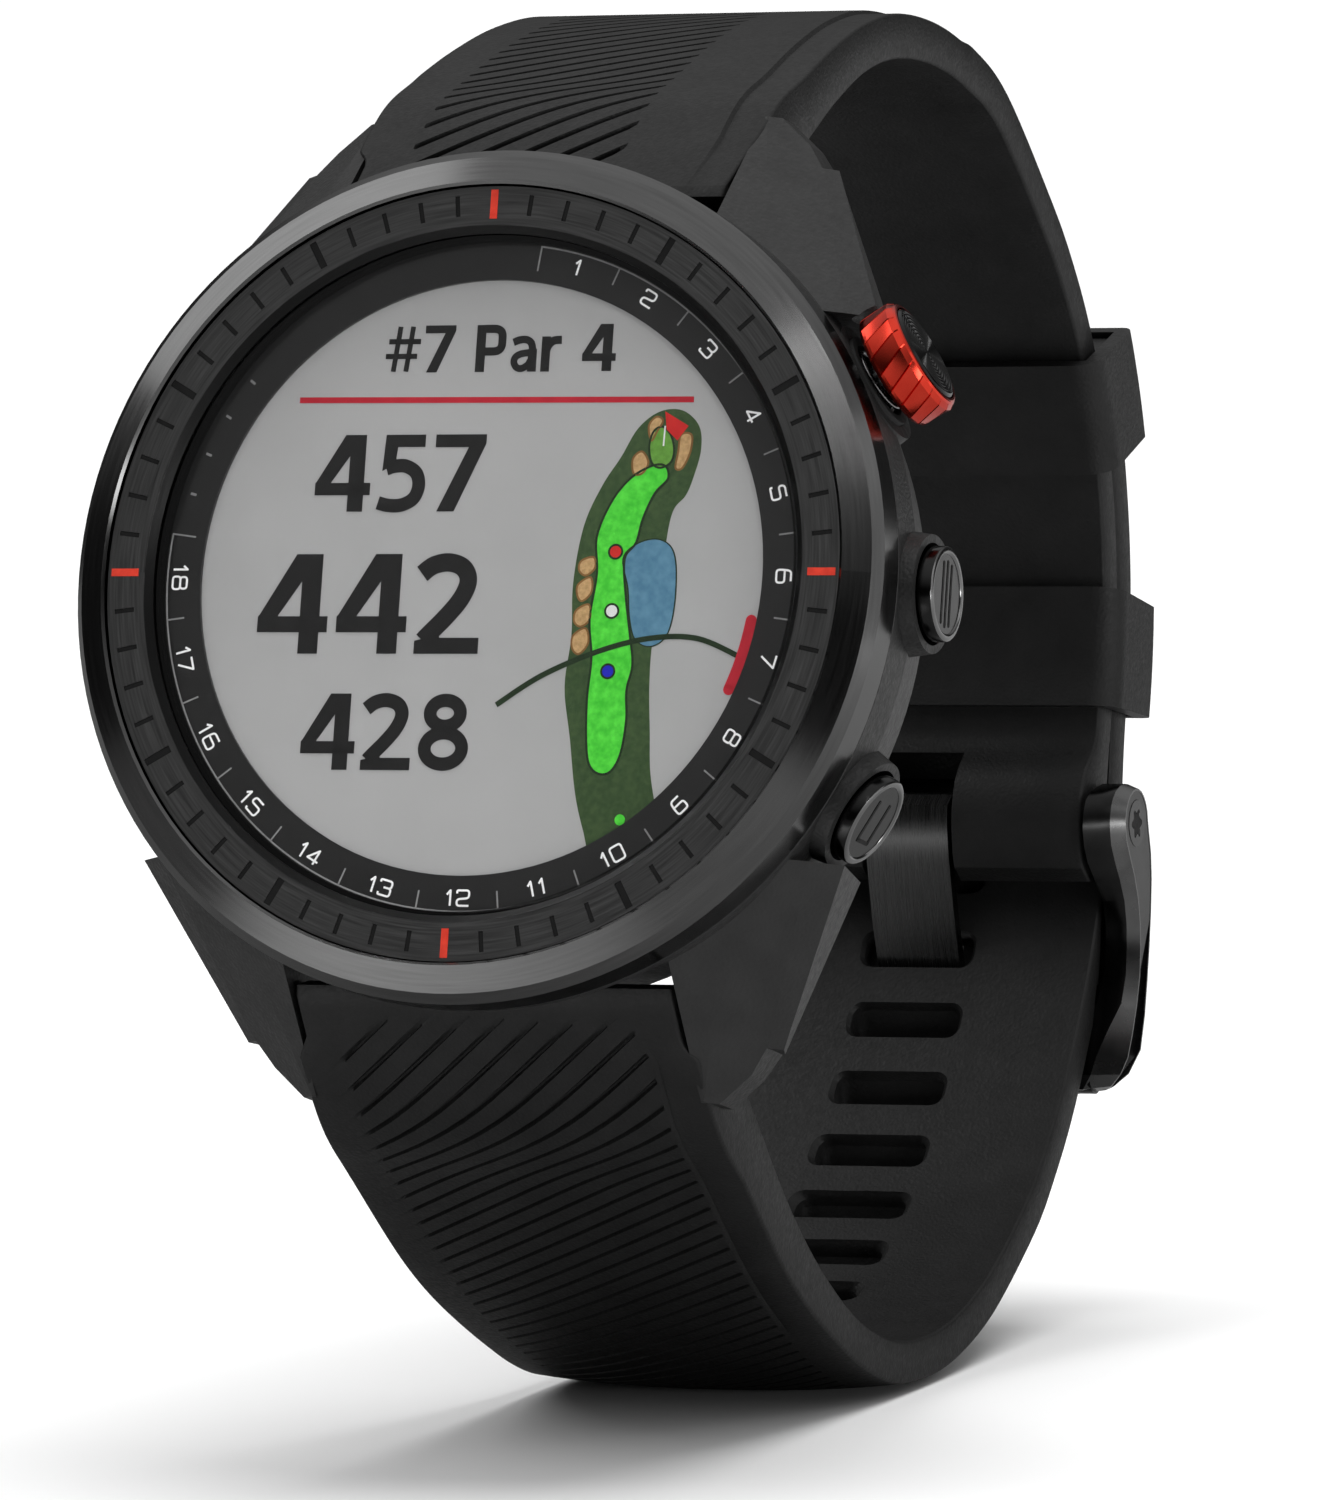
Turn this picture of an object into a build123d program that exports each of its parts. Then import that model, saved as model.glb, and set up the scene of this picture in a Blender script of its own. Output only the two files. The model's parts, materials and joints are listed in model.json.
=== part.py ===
# Golf GPS wristwatch, standing on its closed strap, dial leaning back.
# Units mm. +Z up, the dial faces -Y, +X is the three o'clock side.
# Origin: middle of the small flat on the strap where it stands.
import os
from math import cos, radians, sin

from build123d import *

os.makedirs("parts", exist_ok=True)

# ---------------------------------------------------------------- stance
LEAN = 15.0        # dial leans back from upright, degrees
DIAL_BACK = 38.5   # contact patch lies this far behind the dial centre
DIAL_UP = 49.72    # dial centre above the table

# ------------------------------------------------------------ watch head
BEZEL_R = 23.5
BEZEL_IN = 21.4
TICK_R = 21.3
TICK_IN = 19.15
LENS_R = 18.95
SCREEN_R = 16.4
CAVITY_R = 19.05
CASE_TOP = -1.15
CASE_RIM = -3.25
CASE_SIDE = -6.3
CASE_BACK = -12.0
COVER_BACK = -13.0
SENSOR_R = 8.0

# ------------------------------------------------------------------ lugs
LUG_GAP = 11.3     # half the space between a pair of lugs
LUG_ROOT = 15.0    # where the lug shape starts inside the case wall
LUG_TIP = 27.3
BAR_Y, BAR_Z = 23.6, -9.6
POCKET_Y = 20.65   # case wall behind the strap end

# --------------------------------------------------------------- buttons
BTN_Z = -6.8
STEM_R = 0.93
BUSH_BORE = 1.0
BUSH_R = 1.55
BTN_TRAVEL = 0.5

# ------------------------------------------------------------------ band
BAND_W = 11.0      # half width
FLARE_W = 11.75    # half width just outside the lugs
BAND_T = 2.4
ARC_Y, ARC_Z = 47.2, -5.0   # centre of the rear bend, from the dial centre
ARC_R = 26.9       # middle of the inner (short) strap
STACK = 0.15       # air between the two straps
SLOT_PITCH = 4.95
SLOT_W, SLOT_H = 6.8, 2.25

# ---------------------------------------------------------------- buckle
PIN_Y, PIN_Z = 70.4, -20.6  # buckle bar, from the dial centre
BUCKLE_IN = 11.4
BUCKLE_OUT = 13.5

# --------------------------------------------------------------- planes
s15, c15 = sin(radians(LEAN)), cos(radians(LEAN))
CENTRE = Vector(0, -DIAL_BACK, DIAL_UP)
OUT = Vector(0, -c15, s15)     # out of the dial
NOON = Vector(0, s15, c15)     # towards twelve o'clock
DIAL = Plane(origin=CENTRE, x_dir=(1, 0, 0), z_dir=OUT)
RADIAL = Plane(origin=CENTRE, x_dir=(1, 0, 0), z_dir=-NOON)
HEAD_SIDE = Plane(origin=CENTRE, x_dir=NOON, z_dir=(1, 0, 0))
SIDE = Plane(origin=CENTRE, x_dir=(0, 1, 0), z_dir=(1, 0, 0))
DIAL_AXIS = Axis(CENTRE, OUT)


def done(piece, label):
    piece.part.label = label
    export_step(piece.part, "parts/" + label + ".step")


def across(y):
    """plane square to the twelve o'clock line: x right, y out of the dial"""
    return Plane(origin=CENTRE + NOON * y, x_dir=(1, 0, 0), z_dir=-NOON)


def spoke(angle, r, z=BTN_Z):
    """plane facing outward along a button's line, at radius r"""
    d = Vector(cos(radians(angle)), 0, 0) + NOON * sin(radians(angle))
    return Plane(origin=CENTRE + OUT * z + d * r, x_dir=OUT, z_dir=d)


def spoke_axis(angle, z=BTN_Z):
    d = Vector(cos(radians(angle)), 0, 0) + NOON * sin(radians(angle))
    return Axis(CENTRE + OUT * z, d)


def ring_solid(name, r_out, r_in, top, bottom):
    """plain ring or disc of the head, from top down to bottom"""
    with BuildPart() as p:
        with BuildSketch(DIAL.offset(bottom)):
            Circle(r_out)
            if r_in:
                Circle(r_in, mode=Mode.SUBTRACT)
        extrude(amount=top - bottom)
    done(p, name)


# ------------------------------------------------------- bands as profiles
def polar(r, deg):
    return (ARC_Y + r * cos(radians(deg)), ARC_Z + r * sin(radians(deg)))


def walls(middle, thick, turn):
    """outer and inner points of a bent band from its middle line"""
    out, inn = [], []
    for i, p in enumerate(middle):
        a = middle[max(i - 1, 0)]
        b = middle[min(i + 1, len(middle) - 1)]
        t = Vector(b[0] - a[0], b[1] - a[1]).normalized()
        n = Vector(-t.Y, t.X) * (turn * thick[i] / 2)
        out.append((p[0] - n.X, p[1] - n.Y))
        inn.append((p[0] + n.X, p[1] + n.Y))
    return out, inn


def side(y, z):
    """dial y (to noon) and z (out) turned into depth and height"""
    return (y * s15 - z * c15, y * c15 + z * s15)


LOW_BAR = side(-BAR_Y, BAR_Z)
TOP_BAR = side(BAR_Y, BAR_Z)

# long strap, from the lower lugs under the loop and up behind
LONG_R = ARC_R + BAND_T + STACK
long_mid = [
    (5.8, -28.9), (10.0, -33.2), (15.3, -38.1), (20.7, -42.15),
    (26.8, -45.6), (32.85, -47.75), (38.5, -48.3), (44.15, -47.8),
    (50.35, -46.0), (57.05, -42.5), (60.6, -39.7), (63.97, -36.47),
    (67.1, -32.7), (69.9, -28.7),
    polar(31.3, -34), polar(29.6, -22), polar(LONG_R, -10),
    polar(LONG_R, 0), polar(LONG_R, 10), polar(LONG_R, 18), polar(LONG_R, 25),
]
long_thick = [4.6, 3.8, 3.3, 3.1, 3.0, 3.0, 3.0, 3.0, 3.0, 2.8, 2.6,
              2.45] + [BAND_T] * 9

# short strap, from the upper lugs over the top and down behind
short_mid = [
    (18.6, 22.2), (23.2, 24.1), (28.4, 25.7), (34.0, 26.9), (40.0, 27.3),
    (46.2, 26.6), (52.0, 24.9), (57.4, 22.2), polar(27.1, 50),
    polar(ARC_R, 40), polar(ARC_R, 30), polar(ARC_R, 20), polar(ARC_R, 10),
    polar(ARC_R, 0), polar(ARC_R, -10), polar(ARC_R, -20), polar(27.25, -27),
    (PIN_Y, PIN_Z),
]
short_thick = [4.4, 3.6, 3.2, 2.9, 2.8, 2.7, 2.6, 2.5] + [BAND_T] * 10


def band_face(middle, thick, turn):
    out, inn = walls(middle, thick, turn)
    with BuildLine() as outline:
        o = Spline(*out)
        i = Spline(*inn)
        Line(o @ 0, i @ 0)
        Line(o @ 1, i @ 1)
    make_face(outline.edges())
    return out[0], inn[0]


def root_face(sign, out0, inn0):
    """thick end of a strap that fills the space between two lugs"""
    with BuildLine() as outline:
        Polyline(out0, side(sign * 22.1, -5.9), side(sign * 21.3, -6.9),
                 side(sign * 21.3, -11.4), side(sign * 22.4, -12.3),
                 inn0, close=True)
    make_face(outline.edges())


def slab(plane, w, lo, hi, top, bottom, mode=Mode.SUBTRACT):
    """box on a side-view plane: half width w, lo..hi by bottom..top"""
    with BuildSketch(plane) as sk:
        with Locations(((lo + hi) / 2, (top + bottom) / 2)):
            Rectangle(hi - lo, top - bottom)
    extrude(sk.sketch, amount=w, both=True, mode=mode)


# ============================================================ watch case
print("case")
with BuildPart() as case:
    with BuildSketch(RADIAL):
        with BuildLine():
            Polyline((CAVITY_R, CASE_TOP), (22.2, CASE_TOP), (22.2, CASE_RIM),
                     (23.3, CASE_RIM), (23.45, CASE_RIM - 0.15),
                     (23.4, CASE_SIDE), (21.9, CASE_BACK),
                     (CAVITY_R, CASE_BACK), close=True)
        make_face()
    revolve(axis=DIAL_AXIS)
    # four faceted lugs
    for sx in (-1, 1):
        for sy in (-1, 1):
            with BuildSketch(across(sy * LUG_ROOT)):
                with BuildLine():
                    Polyline(*[(sx * x, z) for x, z in (
                        (LUG_GAP, -11.6), (LUG_GAP, 0.8), (15.3, -2.0),
                        (19.0, -4.4), (20.5, -5.8), (19.3, -11.6))],
                        close=True)
                make_face()
            with BuildSketch(across(sy * LUG_TIP)):
                with BuildLine():
                    Polyline(*[(sx * x, z) for x, z in (
                        (LUG_GAP, -13.1), (LUG_GAP, -10.5), (11.5, -10.4),
                        (13.8, -12.2), (14.2, -12.6), (13.8, -13.1))],
                        close=True)
                make_face()
            loft(ruled=True)
            # blunt, slanted lug tip
            with BuildSketch(DIAL.offset(-16)):
                with BuildLine():
                    Polyline(*[(sx * x, sy * y) for x, y in (
                        (12.1, LUG_TIP + 0.1), (14.0, 25.7), (15.0, 24.3),
                        (18, 24.3), (18, 29), (12.1, 29))], close=True)
                make_face()
            extrude(amount=10, mode=Mode.SUBTRACT)
    # button bosses
    for angle, big, reach in ((30, 3.9, 23.3), (0, 3.75, 24.2),
                              (-30, 3.75, 24.2)):
        with BuildSketch(spoke(angle, 20.5)):
            Circle(big)
        extrude(amount=reach - 20.5, taper=8)
    # room for the red ring to travel beside the lug
    with BuildSketch(spoke(30, 23.4)):
        Circle(3.65)
    extrude(amount=5, mode=Mode.SUBTRACT)
    # nothing of the lugs or bosses rises past the bezel's lower edge
    with BuildSketch(DIAL.offset(CASE_RIM)):
        Circle(40)
        Circle(22.2, mode=Mode.SUBTRACT)
    extrude(amount=6, mode=Mode.SUBTRACT)
    with BuildSketch(DIAL.offset(CASE_TOP)):
        Circle(40)
    extrude(amount=6, mode=Mode.SUBTRACT)
    # movement cavity and the seat of the back cover
    with BuildSketch(DIAL.offset(CASE_BACK - 0.02)):
        Circle(CAVITY_R)
    extrude(amount=14, mode=Mode.SUBTRACT)
    with BuildSketch(DIAL.offset(CASE_BACK - 3)):
        Circle(21.5)
    extrude(amount=3, mode=Mode.SUBTRACT)
    # space for each strap end
    for sy in (-1, 1):
        slab(HEAD_SIDE, LUG_GAP, min(sy * POCKET_Y, sy * 32),
             max(sy * POCKET_Y, sy * 32), -3.95, -16)
    # ledge that carries the glass, screw posts for the back
    with BuildSketch(DIAL.offset(-2.8)):
        Circle(CAVITY_R + 0.2)
        Circle(18.25, mode=Mode.SUBTRACT)
    extrude(amount=0.6)
    with BuildSketch(DIAL.offset(CASE_BACK + 0.1)):
        with PolarLocations(17.6, 4, start_angle=45):
            Circle(1.7)
    extrude(amount=4.4)
    with BuildSketch(DIAL.offset(CASE_BACK)):
        with PolarLocations(17.6, 4, start_angle=45):
            Circle(0.62)
    extrude(amount=3.4, mode=Mode.SUBTRACT)
    # gasket groove
    with BuildSketch(DIAL.offset(CASE_BACK)):
        Circle(20.1)
        Circle(19.5, mode=Mode.SUBTRACT)
    extrude(amount=0.5, mode=Mode.SUBTRACT)
    # button bores and head recesses
    for angle, head in ((30, 2.75), (0, 2.78), (-30, 2.78)):
        with BuildSketch(spoke(angle, 17.5)):
            Circle(BUSH_R + 0.01)
        extrude(amount=8, mode=Mode.SUBTRACT)
        with BuildSketch(spoke(angle, 22.9)):
            Circle(head)
        extrude(amount=3, mode=Mode.SUBTRACT)
    # lug holes for the strap bars
    for sy in (-1, 1):
        with BuildSketch(HEAD_SIDE):
            with Locations((sy * BAR_Y, BAR_Z)):
                Circle(0.5)
        extrude(amount=13.2, both=True, mode=Mode.SUBTRACT)
done(case, "case_body")

# ================================================= dial side of the head
with BuildPart() as bezel:
    with BuildSketch(RADIAL):
        with BuildLine():
            Polyline((BEZEL_IN, 0.2), (21.55, 0.35), (23.0, -0.35),
                     (BEZEL_R, -1.0), (BEZEL_R, -3.15), (22.25, -3.15),
                     (22.25, -1.05), (BEZEL_IN, -1.05), close=True)
        make_face()
    revolve(axis=DIAL_AXIS)
done(bezel, "bezel_ring")

with BuildPart() as ticks:
    with BuildSketch(RADIAL):
        with BuildLine():
            Polyline((TICK_IN, 0), (TICK_R, 0), (TICK_R, -1.05),
                     (TICK_IN, -1.05), (TICK_IN, -0.55), (18.75, -0.55),
                     (18.75, -0.4), close=True)
        make_face()
    revolve(axis=DIAL_AXIS)
    # engraved minute marks, longer every five
    for n in range(60):
        long = n % 5 == 0
        with BuildSketch(DIAL.offset(-0.12)):
            with PolarLocations(20.3, 1, start_angle=6 * n):
                Rectangle(1.6 if long else 1.15, 0.42 if long else 0.26)
        extrude(amount=0.5, mode=Mode.SUBTRACT)
done(ticks, "minute_ring")

with BuildPart() as inlays:
    with BuildSketch(DIAL.offset(-0.12)):
        with PolarLocations(20.3, 4):
            Rectangle(1.6, 0.42)
    extrude(amount=0.14)
done(inlays, "red_inlays")

ring_solid("lens", LENS_R, 0, -0.6, -1.8)
ring_solid("lens_gasket", LENS_R, 18.6, -1.82, -2.17)
ring_solid("number_ring", 18.55, SCREEN_R, -1.82, -2.05)
ring_solid("display_panel", 17.6, 0, -2.1, -2.9)
ring_solid("backlight", 17.6, 0, -2.92, -3.4)
ring_solid("gps_antenna_ring", 18.95, 18.72, -2.85, -5.1)
ring_solid("mid_frame", 18.6, 14.0, -3.45, -5.1)

with BuildPart() as board:
    with BuildSketch(DIAL.offset(-5.9)):
        Circle(18.4)
        with PolarLocations(19.0, 3, start_angle=-30, angular_range=90,
                            endpoint=False):
            Rectangle(3.5, 4.2, mode=Mode.SUBTRACT)
    extrude(amount=0.75)
done(board, "main_board")

with BuildPart() as chips:
    with BuildSketch(DIAL.offset(-6.9)):
        with Locations((-5, 6), (5, 7), (-7, -5), (2, -4), (8, -1)):
            Rectangle(5, 4)
    extrude(amount=0.98)
done(chips, "board_chips")

with BuildPart() as battery:
    with BuildSketch(DIAL.offset(-10.9)):
        RectangleRounded(23, 19, 1)
    extrude(amount=3.8)
done(battery, "battery")

# small motor with an off-centre weight, beside the battery
MOTOR_X, MOTOR_Z = -15.0, -8.9
with BuildPart() as motor:
    with BuildSketch(across(-4).offset(0)):
        with Locations((MOTOR_X, MOTOR_Z)):
            Circle(1.9)
            Circle(0.36, mode=Mode.SUBTRACT)
    extrude(amount=-8)
done(motor, "vibration_motor")

with BuildPart() as weight:
    with BuildSketch(across(-3)):
        with Locations((MOTOR_X, MOTOR_Z)):
            Circle(0.3)
    extrude(amount=-10)
    with BuildSketch(across(4.3)):
        with Locations((MOTOR_X, MOTOR_Z)):
            Circle(1.7)
            Rectangle(4, 1.5, align=(Align.CENTER, Align.MIN),
                      mode=Mode.SUBTRACT)
            Circle(0.7)
    extrude(amount=-2.6)
done(weight, "motor_weight")

# ============================================================ back of head
with BuildPart() as cover:
    with BuildSketch(DIAL.offset(COVER_BACK)):
        Circle(21.4)
    extrude(amount=0.97)
    chamfer(cover.faces().sort_by(DIAL_AXIS)[0].edges(), 0.35)
    with BuildSketch(DIAL.offset(COVER_BACK)):
        Circle(7.0)
    extrude(amount=2, mode=Mode.SUBTRACT)
    with BuildSketch(DIAL.offset(COVER_BACK)):
        Circle(SENSOR_R)
    extrude(amount=0.55, mode=Mode.SUBTRACT)
    with BuildSketch(DIAL.offset(COVER_BACK)):
        with PolarLocations(17.6, 4, start_angle=45):
            Circle(0.75)
        with Locations((-3.9, -13.5), (-1.3, -13.5), (1.3, -13.5),
                       (3.9, -13.5)):
            Circle(0.62)
    extrude(amount=2, mode=Mode.SUBTRACT)
    with BuildSketch(DIAL.offset(COVER_BACK)):
        with PolarLocations(17.6, 4, start_angle=45):
            Circle(1.45)
    extrude(amount=0.55, mode=Mode.SUBTRACT)
    with BuildSketch(DIAL.offset(COVER_BACK)):
        with Locations((0, -13.5)):
            SlotOverall(11.4, 2.6)
    extrude(amount=0.4, mode=Mode.SUBTRACT)
done(cover, "back_cover")

with BuildPart() as gasket:
    with BuildSketch(DIAL.offset(CASE_BACK + 0.02)):
        Circle(20.05)
        Circle(19.55, mode=Mode.SUBTRACT)
    extrude(amount=0.44)
done(gasket, "back_gasket")

with BuildPart() as screws:
    with BuildSketch(DIAL.offset(COVER_BACK + 0.05)):
        with PolarLocations(17.6, 4, start_angle=45):
            Circle(1.35)
    extrude(amount=0.48)
    with BuildSketch(DIAL.offset(COVER_BACK + 0.3)):
        with PolarLocations(17.6, 4, start_angle=45):
            Circle(0.6)
    extrude(amount=3.9)
    with BuildSketch(DIAL.offset(COVER_BACK)):
        with PolarLocations(17.6, 4, start_angle=45):
            RegularPolygon(0.6, 6)
    extrude(amount=0.35, mode=Mode.SUBTRACT)
done(screws, "back_screws")

DOME_R = 27.0
dome_lip = -14.2 + DOME_R - (DOME_R ** 2 - 7.95 ** 2) ** 0.5
dome_mid = -14.2 + DOME_R - (DOME_R ** 2 - 16) ** 0.5
with BuildPart() as window:
    with BuildSketch(RADIAL):
        with BuildLine():
            ThreePointArc((7.95, dome_lip), (4, dome_mid), (0, -14.2))
            Polyline((0, -14.2), (0, -12.5), (7.95, -12.5),
                     (7.95, dome_lip))
        make_face()
    revolve(axis=DIAL_AXIS)
done(window, "sensor_window")
ring_solid("sensor_board", 6.8, 0, -11.0, -11.6)
with BuildPart() as leds:
    with BuildSketch(DIAL.offset(-12.2)):
        Rectangle(2.4, 2.4)
        with Locations((0, 4), (0, -4)):
            Rectangle(1.5, 1.5)
        with Locations((4, 0), (-4, 0)):
            Rectangle(2, 3)
    extrude(amount=0.58)
done(leds, "sensor_leds")
with BuildPart() as contacts:
    with BuildSketch(DIAL.offset(COVER_BACK + 0.1)):
        with Locations((-3.9, -13.5), (-1.3, -13.5), (1.3, -13.5),
                       (3.9, -13.5)):
            Circle(0.6)
    extrude(amount=1.5)
done(contacts, "charge_contacts")

# ================================================================ buttons
print("buttons")


def tube(plane, length, r_out, r_in):
    with BuildSketch(plane) as sk:
        Circle(r_out)
        if r_in:
            Circle(r_in, mode=Mode.SUBTRACT)
    extrude(sk.sketch, amount=length)


for tag, angle, face in (("top", 30, 26.6), ("mid", 0, 25.1),
                         ("low", -30, 25.1)):
    back = 24.2 if tag == "top" else 23.75
    with BuildPart() as stem:
        tube(spoke(angle, 17.95), back + 0.45 - 17.95, STEM_R, 0)
        tube(spoke(angle, 18.55), 0.32, STEM_R + 0.1, 0)
        with BuildSketch(spoke(angle, 18.5)):
            Circle(STEM_R + 0.2)
            Circle(0.7, mode=Mode.SUBTRACT)
        extrude(amount=0.4, mode=Mode.SUBTRACT)
    done(stem, tag + "_button_stem")
    with BuildPart() as bush:
        tube(spoke(angle, 19.4), 2.85, BUSH_R, BUSH_BORE)
    done(bush, tag + "_button_bush")
    with BuildPart() as seal:
        with BuildSketch(Plane(origin=spoke(angle, 22.58).origin,
                               x_dir=OUT, z_dir=spoke(angle, 0).y_dir)):
            with Locations((1.28, 0)):
                Circle(0.26)
        revolve(axis=spoke_axis(angle))
    done(seal, tag + "_button_seal")
    with BuildPart() as clip:
        tube(spoke(angle, 18.58), 0.24, 1.55, 0.72)
        with BuildSketch(spoke(angle, 18.5)):
            Rectangle(4, 1.0, align=(Align.MIN, Align.CENTER))
        extrude(amount=0.5, mode=Mode.SUBTRACT)
    done(clip, tag + "_button_clip")
    with BuildPart() as switch:
        with BuildSketch(spoke(angle, 15.6)):
            with Locations((-0.05, 0)):
                Rectangle(1.6, 3)
        extrude(amount=1.3)
        tube(spoke(angle, 16.8), 0.5, 0.6, 0)
    done(switch, tag + "_button_switch")
    # return spring between the recess floor and the head
    coil_len = back - 22.9 - 0.08
    with BuildPart() as spring:
        with BuildLine():
            turns = Helix(pitch=(coil_len - 0.26) / 2, height=coil_len - 0.26,
                          radius=1.75)
        with BuildSketch(Plane(turns @ 0, z_dir=turns % 0)):
            Circle(0.13)
        sweep(is_frenet=True)
    spring.part = spoke(angle, 23.07).location * spring.part
    done(spring, tag + "_button_spring")
    if tag == "top":
        with BuildPart() as knob:
            tube(spoke(angle, back), 2.3, 3.35, 2.8)
            with BuildSketch(spoke(angle, back)):
                Circle(3.35)
                Circle(STEM_R + 0.01, mode=Mode.SUBTRACT)
            extrude(amount=0.6)
            edge = knob.faces().sort_by(spoke_axis(angle))[-1].edges()
            chamfer(edge.sort_by(SortBy.LENGTH)[-1], 0.35)
        done(knob, "top_button_red_ring")
        with BuildPart() as disc:
            tube(spoke(angle, back + 0.62), face - back - 0.62, 2.77, 0)
            for r in (0.6, 1.0, 1.4, 1.8, 2.2):
                with BuildSketch(spoke(angle, face - 0.08)):
                    Circle(r + 0.09)
                    Circle(r - 0.09, mode=Mode.SUBTRACT)
                extrude(amount=0.2, mode=Mode.SUBTRACT)
        done(disc, "top_button_disc")
        with BuildPart() as collar:
            tube(spoke(angle, 23.0), 0.55, 2.7, 2.2)
        done(collar, "top_button_collar")
    else:
        with BuildPart() as cap:
            tube(spoke(angle, back), face - back, 2.6, 0)
            tube_face = cap.faces().sort_by(spoke_axis(angle))[-1]
            chamfer(tube_face.edges(), 0.25)
            with BuildSketch(spoke(angle, face - 0.12)):
                Circle(2.12)
                if tag == "mid":
                    for k in (-1, 0, 1):
                        with Locations((k * 0.6, 0)):
                            SlotOverall(3.2, 0.24, 90, mode=Mode.SUBTRACT)
                else:
                    SlotOverall(2.4, 0.5, mode=Mode.SUBTRACT)
            extrude(amount=0.3, mode=Mode.SUBTRACT)
            with BuildSketch(spoke(angle, back)):
                Circle(STEM_R + 0.01)
            extrude(amount=0.5, mode=Mode.SUBTRACT)
        done(cap, tag + "_button_cap")

# ============================================================ strap bars
print("band")
for tag, sy in (("upper", 1), ("lower", -1)):
    with BuildPart() as bar:
        with BuildSketch(HEAD_SIDE):
            with Locations((sy * BAR_Y, BAR_Z)):
                Circle(0.9)
        extrude(amount=10.9, both=True)
        with BuildSketch(HEAD_SIDE):
            with Locations((sy * BAR_Y, BAR_Z)):
                Circle(0.46)
        extrude(amount=13.0, both=True)
    done(bar, "lug_bar_" + tag)


# ================================================================ straps
def latch_plane(bar, toward, sy):
    """on the bar, facing the wrist; y runs along the strap"""
    d = (Vector(*toward) - Vector(*bar)).normalized()
    at = CENTRE + Vector(0, bar[0], bar[1])
    return Plane(origin=at, x_dir=(1, 0, 0),
                 z_dir=Vector(0, sy * d.Y, -sy * d.X))


LATCH_LOW = latch_plane(LOW_BAR, long_mid[1], -1)
LATCH_TOP = latch_plane(TOP_BAR, short_mid[1], 1)


def root_gap(sy):
    """the root is narrower, to pass between the lugs"""
    for sx in (-1, 1):
        with BuildSketch(HEAD_SIDE.offset(sx * BAND_W)) as sk:
            with Locations((sy * (LUG_TIP + 0.35), -8)):
                Rectangle(14, 30, align=(
                    Align.MAX if sy > 0 else Align.MIN, Align.CENTER))
        extrude(sk.sketch, amount=sx * 3, mode=Mode.SUBTRACT)


def latch_pocket(plane, way):
    """tee-shaped recess in which the release slides"""
    for w, a, b, lo, hi in ((4.4, 2.3, 8.1, 0.95, 1.7),
                            (3.4, 2.6, 7.8, 1.6, 5.0)):
        with BuildSketch(plane.offset(lo)) as sk:
            with Locations((0, way * (a + b) / 2)):
                Rectangle(2 * w, b - a)
        extrude(sk.sketch, amount=hi - lo, mode=Mode.SUBTRACT)


def cut_round(at, r):
    with BuildSketch(SIDE) as sk:
        with Locations(at):
            Circle(r)
    extrude(sk.sketch, amount=20, both=True, mode=Mode.SUBTRACT)


# tongue, in side view: wraps the bar, dives through a slot, then rests
# on the outer bar of the buckle
tongue_mid = [(67.95, -19.3), (67.8, -21.4), (68.2, -24.0), (68.65, -26.3),
              (69.25, -28.4), (70.2, -31.7), (70.55, -34.8)]

with BuildLine(SIDE) as long_line:
    Spline(*long_mid)
long_path = long_line.edges()[0]
with BuildPart() as long_strap:
    with BuildSketch(SIDE):
        o0, i0 = band_face(long_mid, long_thick, 1)
        root_face(-1, o0, i0)
    extrude(amount=FLARE_W, both=True)
    # flat on which the watch stands
    with BuildSketch(Plane.XY):
        Rectangle(90, 90)
    extrude(amount=-3, mode=Mode.SUBTRACT)
    # flare narrows from the lugs to the loop's lowest point
    for sx in (-1, 1):
        with BuildSketch(Plane.XZ.offset(12)):
            with BuildLine():
                Polyline((sx * FLARE_W, DIAL_UP - 33), (sx * 14, DIAL_UP - 33),
                         (sx * 14, -2), (sx * BAND_W, -2),
                         (sx * BAND_W, DIAL_UP - 45.5), close=True)
            make_face()
        extrude(amount=30, mode=Mode.SUBTRACT)
        with BuildSketch(Plane.YZ.offset(sx * BAND_W)):
            with Locations((-12.0, -5)):
                Rectangle(70, 80, align=(Align.MIN, Align.MIN))
        extrude(amount=sx * 3, mode=Mode.SUBTRACT)
    root_gap(-1)
    cut_round(LOW_BAR, 1.0)
    latch_pocket(LATCH_LOW, 1)
    # adjustment slots
    u0 = long_path.param_at_point(CENTRE + Vector(0, 69.9, -28.7))
    s0 = u0 * long_path.length + 0.05
    for k in range(-4, 7):
        s = s0 - k * SLOT_PITCH
        at = long_path.position_at(s, position_mode=PositionMode.LENGTH)
        run = long_path.tangent_at(s, position_mode=PositionMode.LENGTH)
        with BuildSketch(Plane(origin=at, x_dir=(1, 0, 0),
                               z_dir=run.cross(Vector(1, 0, 0)))):
            RectangleRounded(SLOT_W, SLOT_H, 0.8)
        extrude(amount=2.2, both=True, mode=Mode.SUBTRACT)
    # the slot in use is stretched along the tongue
    with BuildSketch(SIDE):
        band_face(tongue_mid[3:], [1.9] * 4, 1)
    extrude(amount=SLOT_W / 2 - 0.3, both=True, mode=Mode.SUBTRACT)
    # rounded tail
    tip = long_path.position_at(1)
    way = long_path.tangent_at(1)
    with BuildSketch(Plane(origin=tip, x_dir=(1, 0, 0),
                           z_dir=Vector(1, 0, 0).cross(way))):
        Rectangle(26, 15)
        with Locations((0, -14)):
            Circle(14, mode=Mode.SUBTRACT)
    extrude(amount=3, both=True, mode=Mode.SUBTRACT)
done(long_strap, "strap_long")

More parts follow.
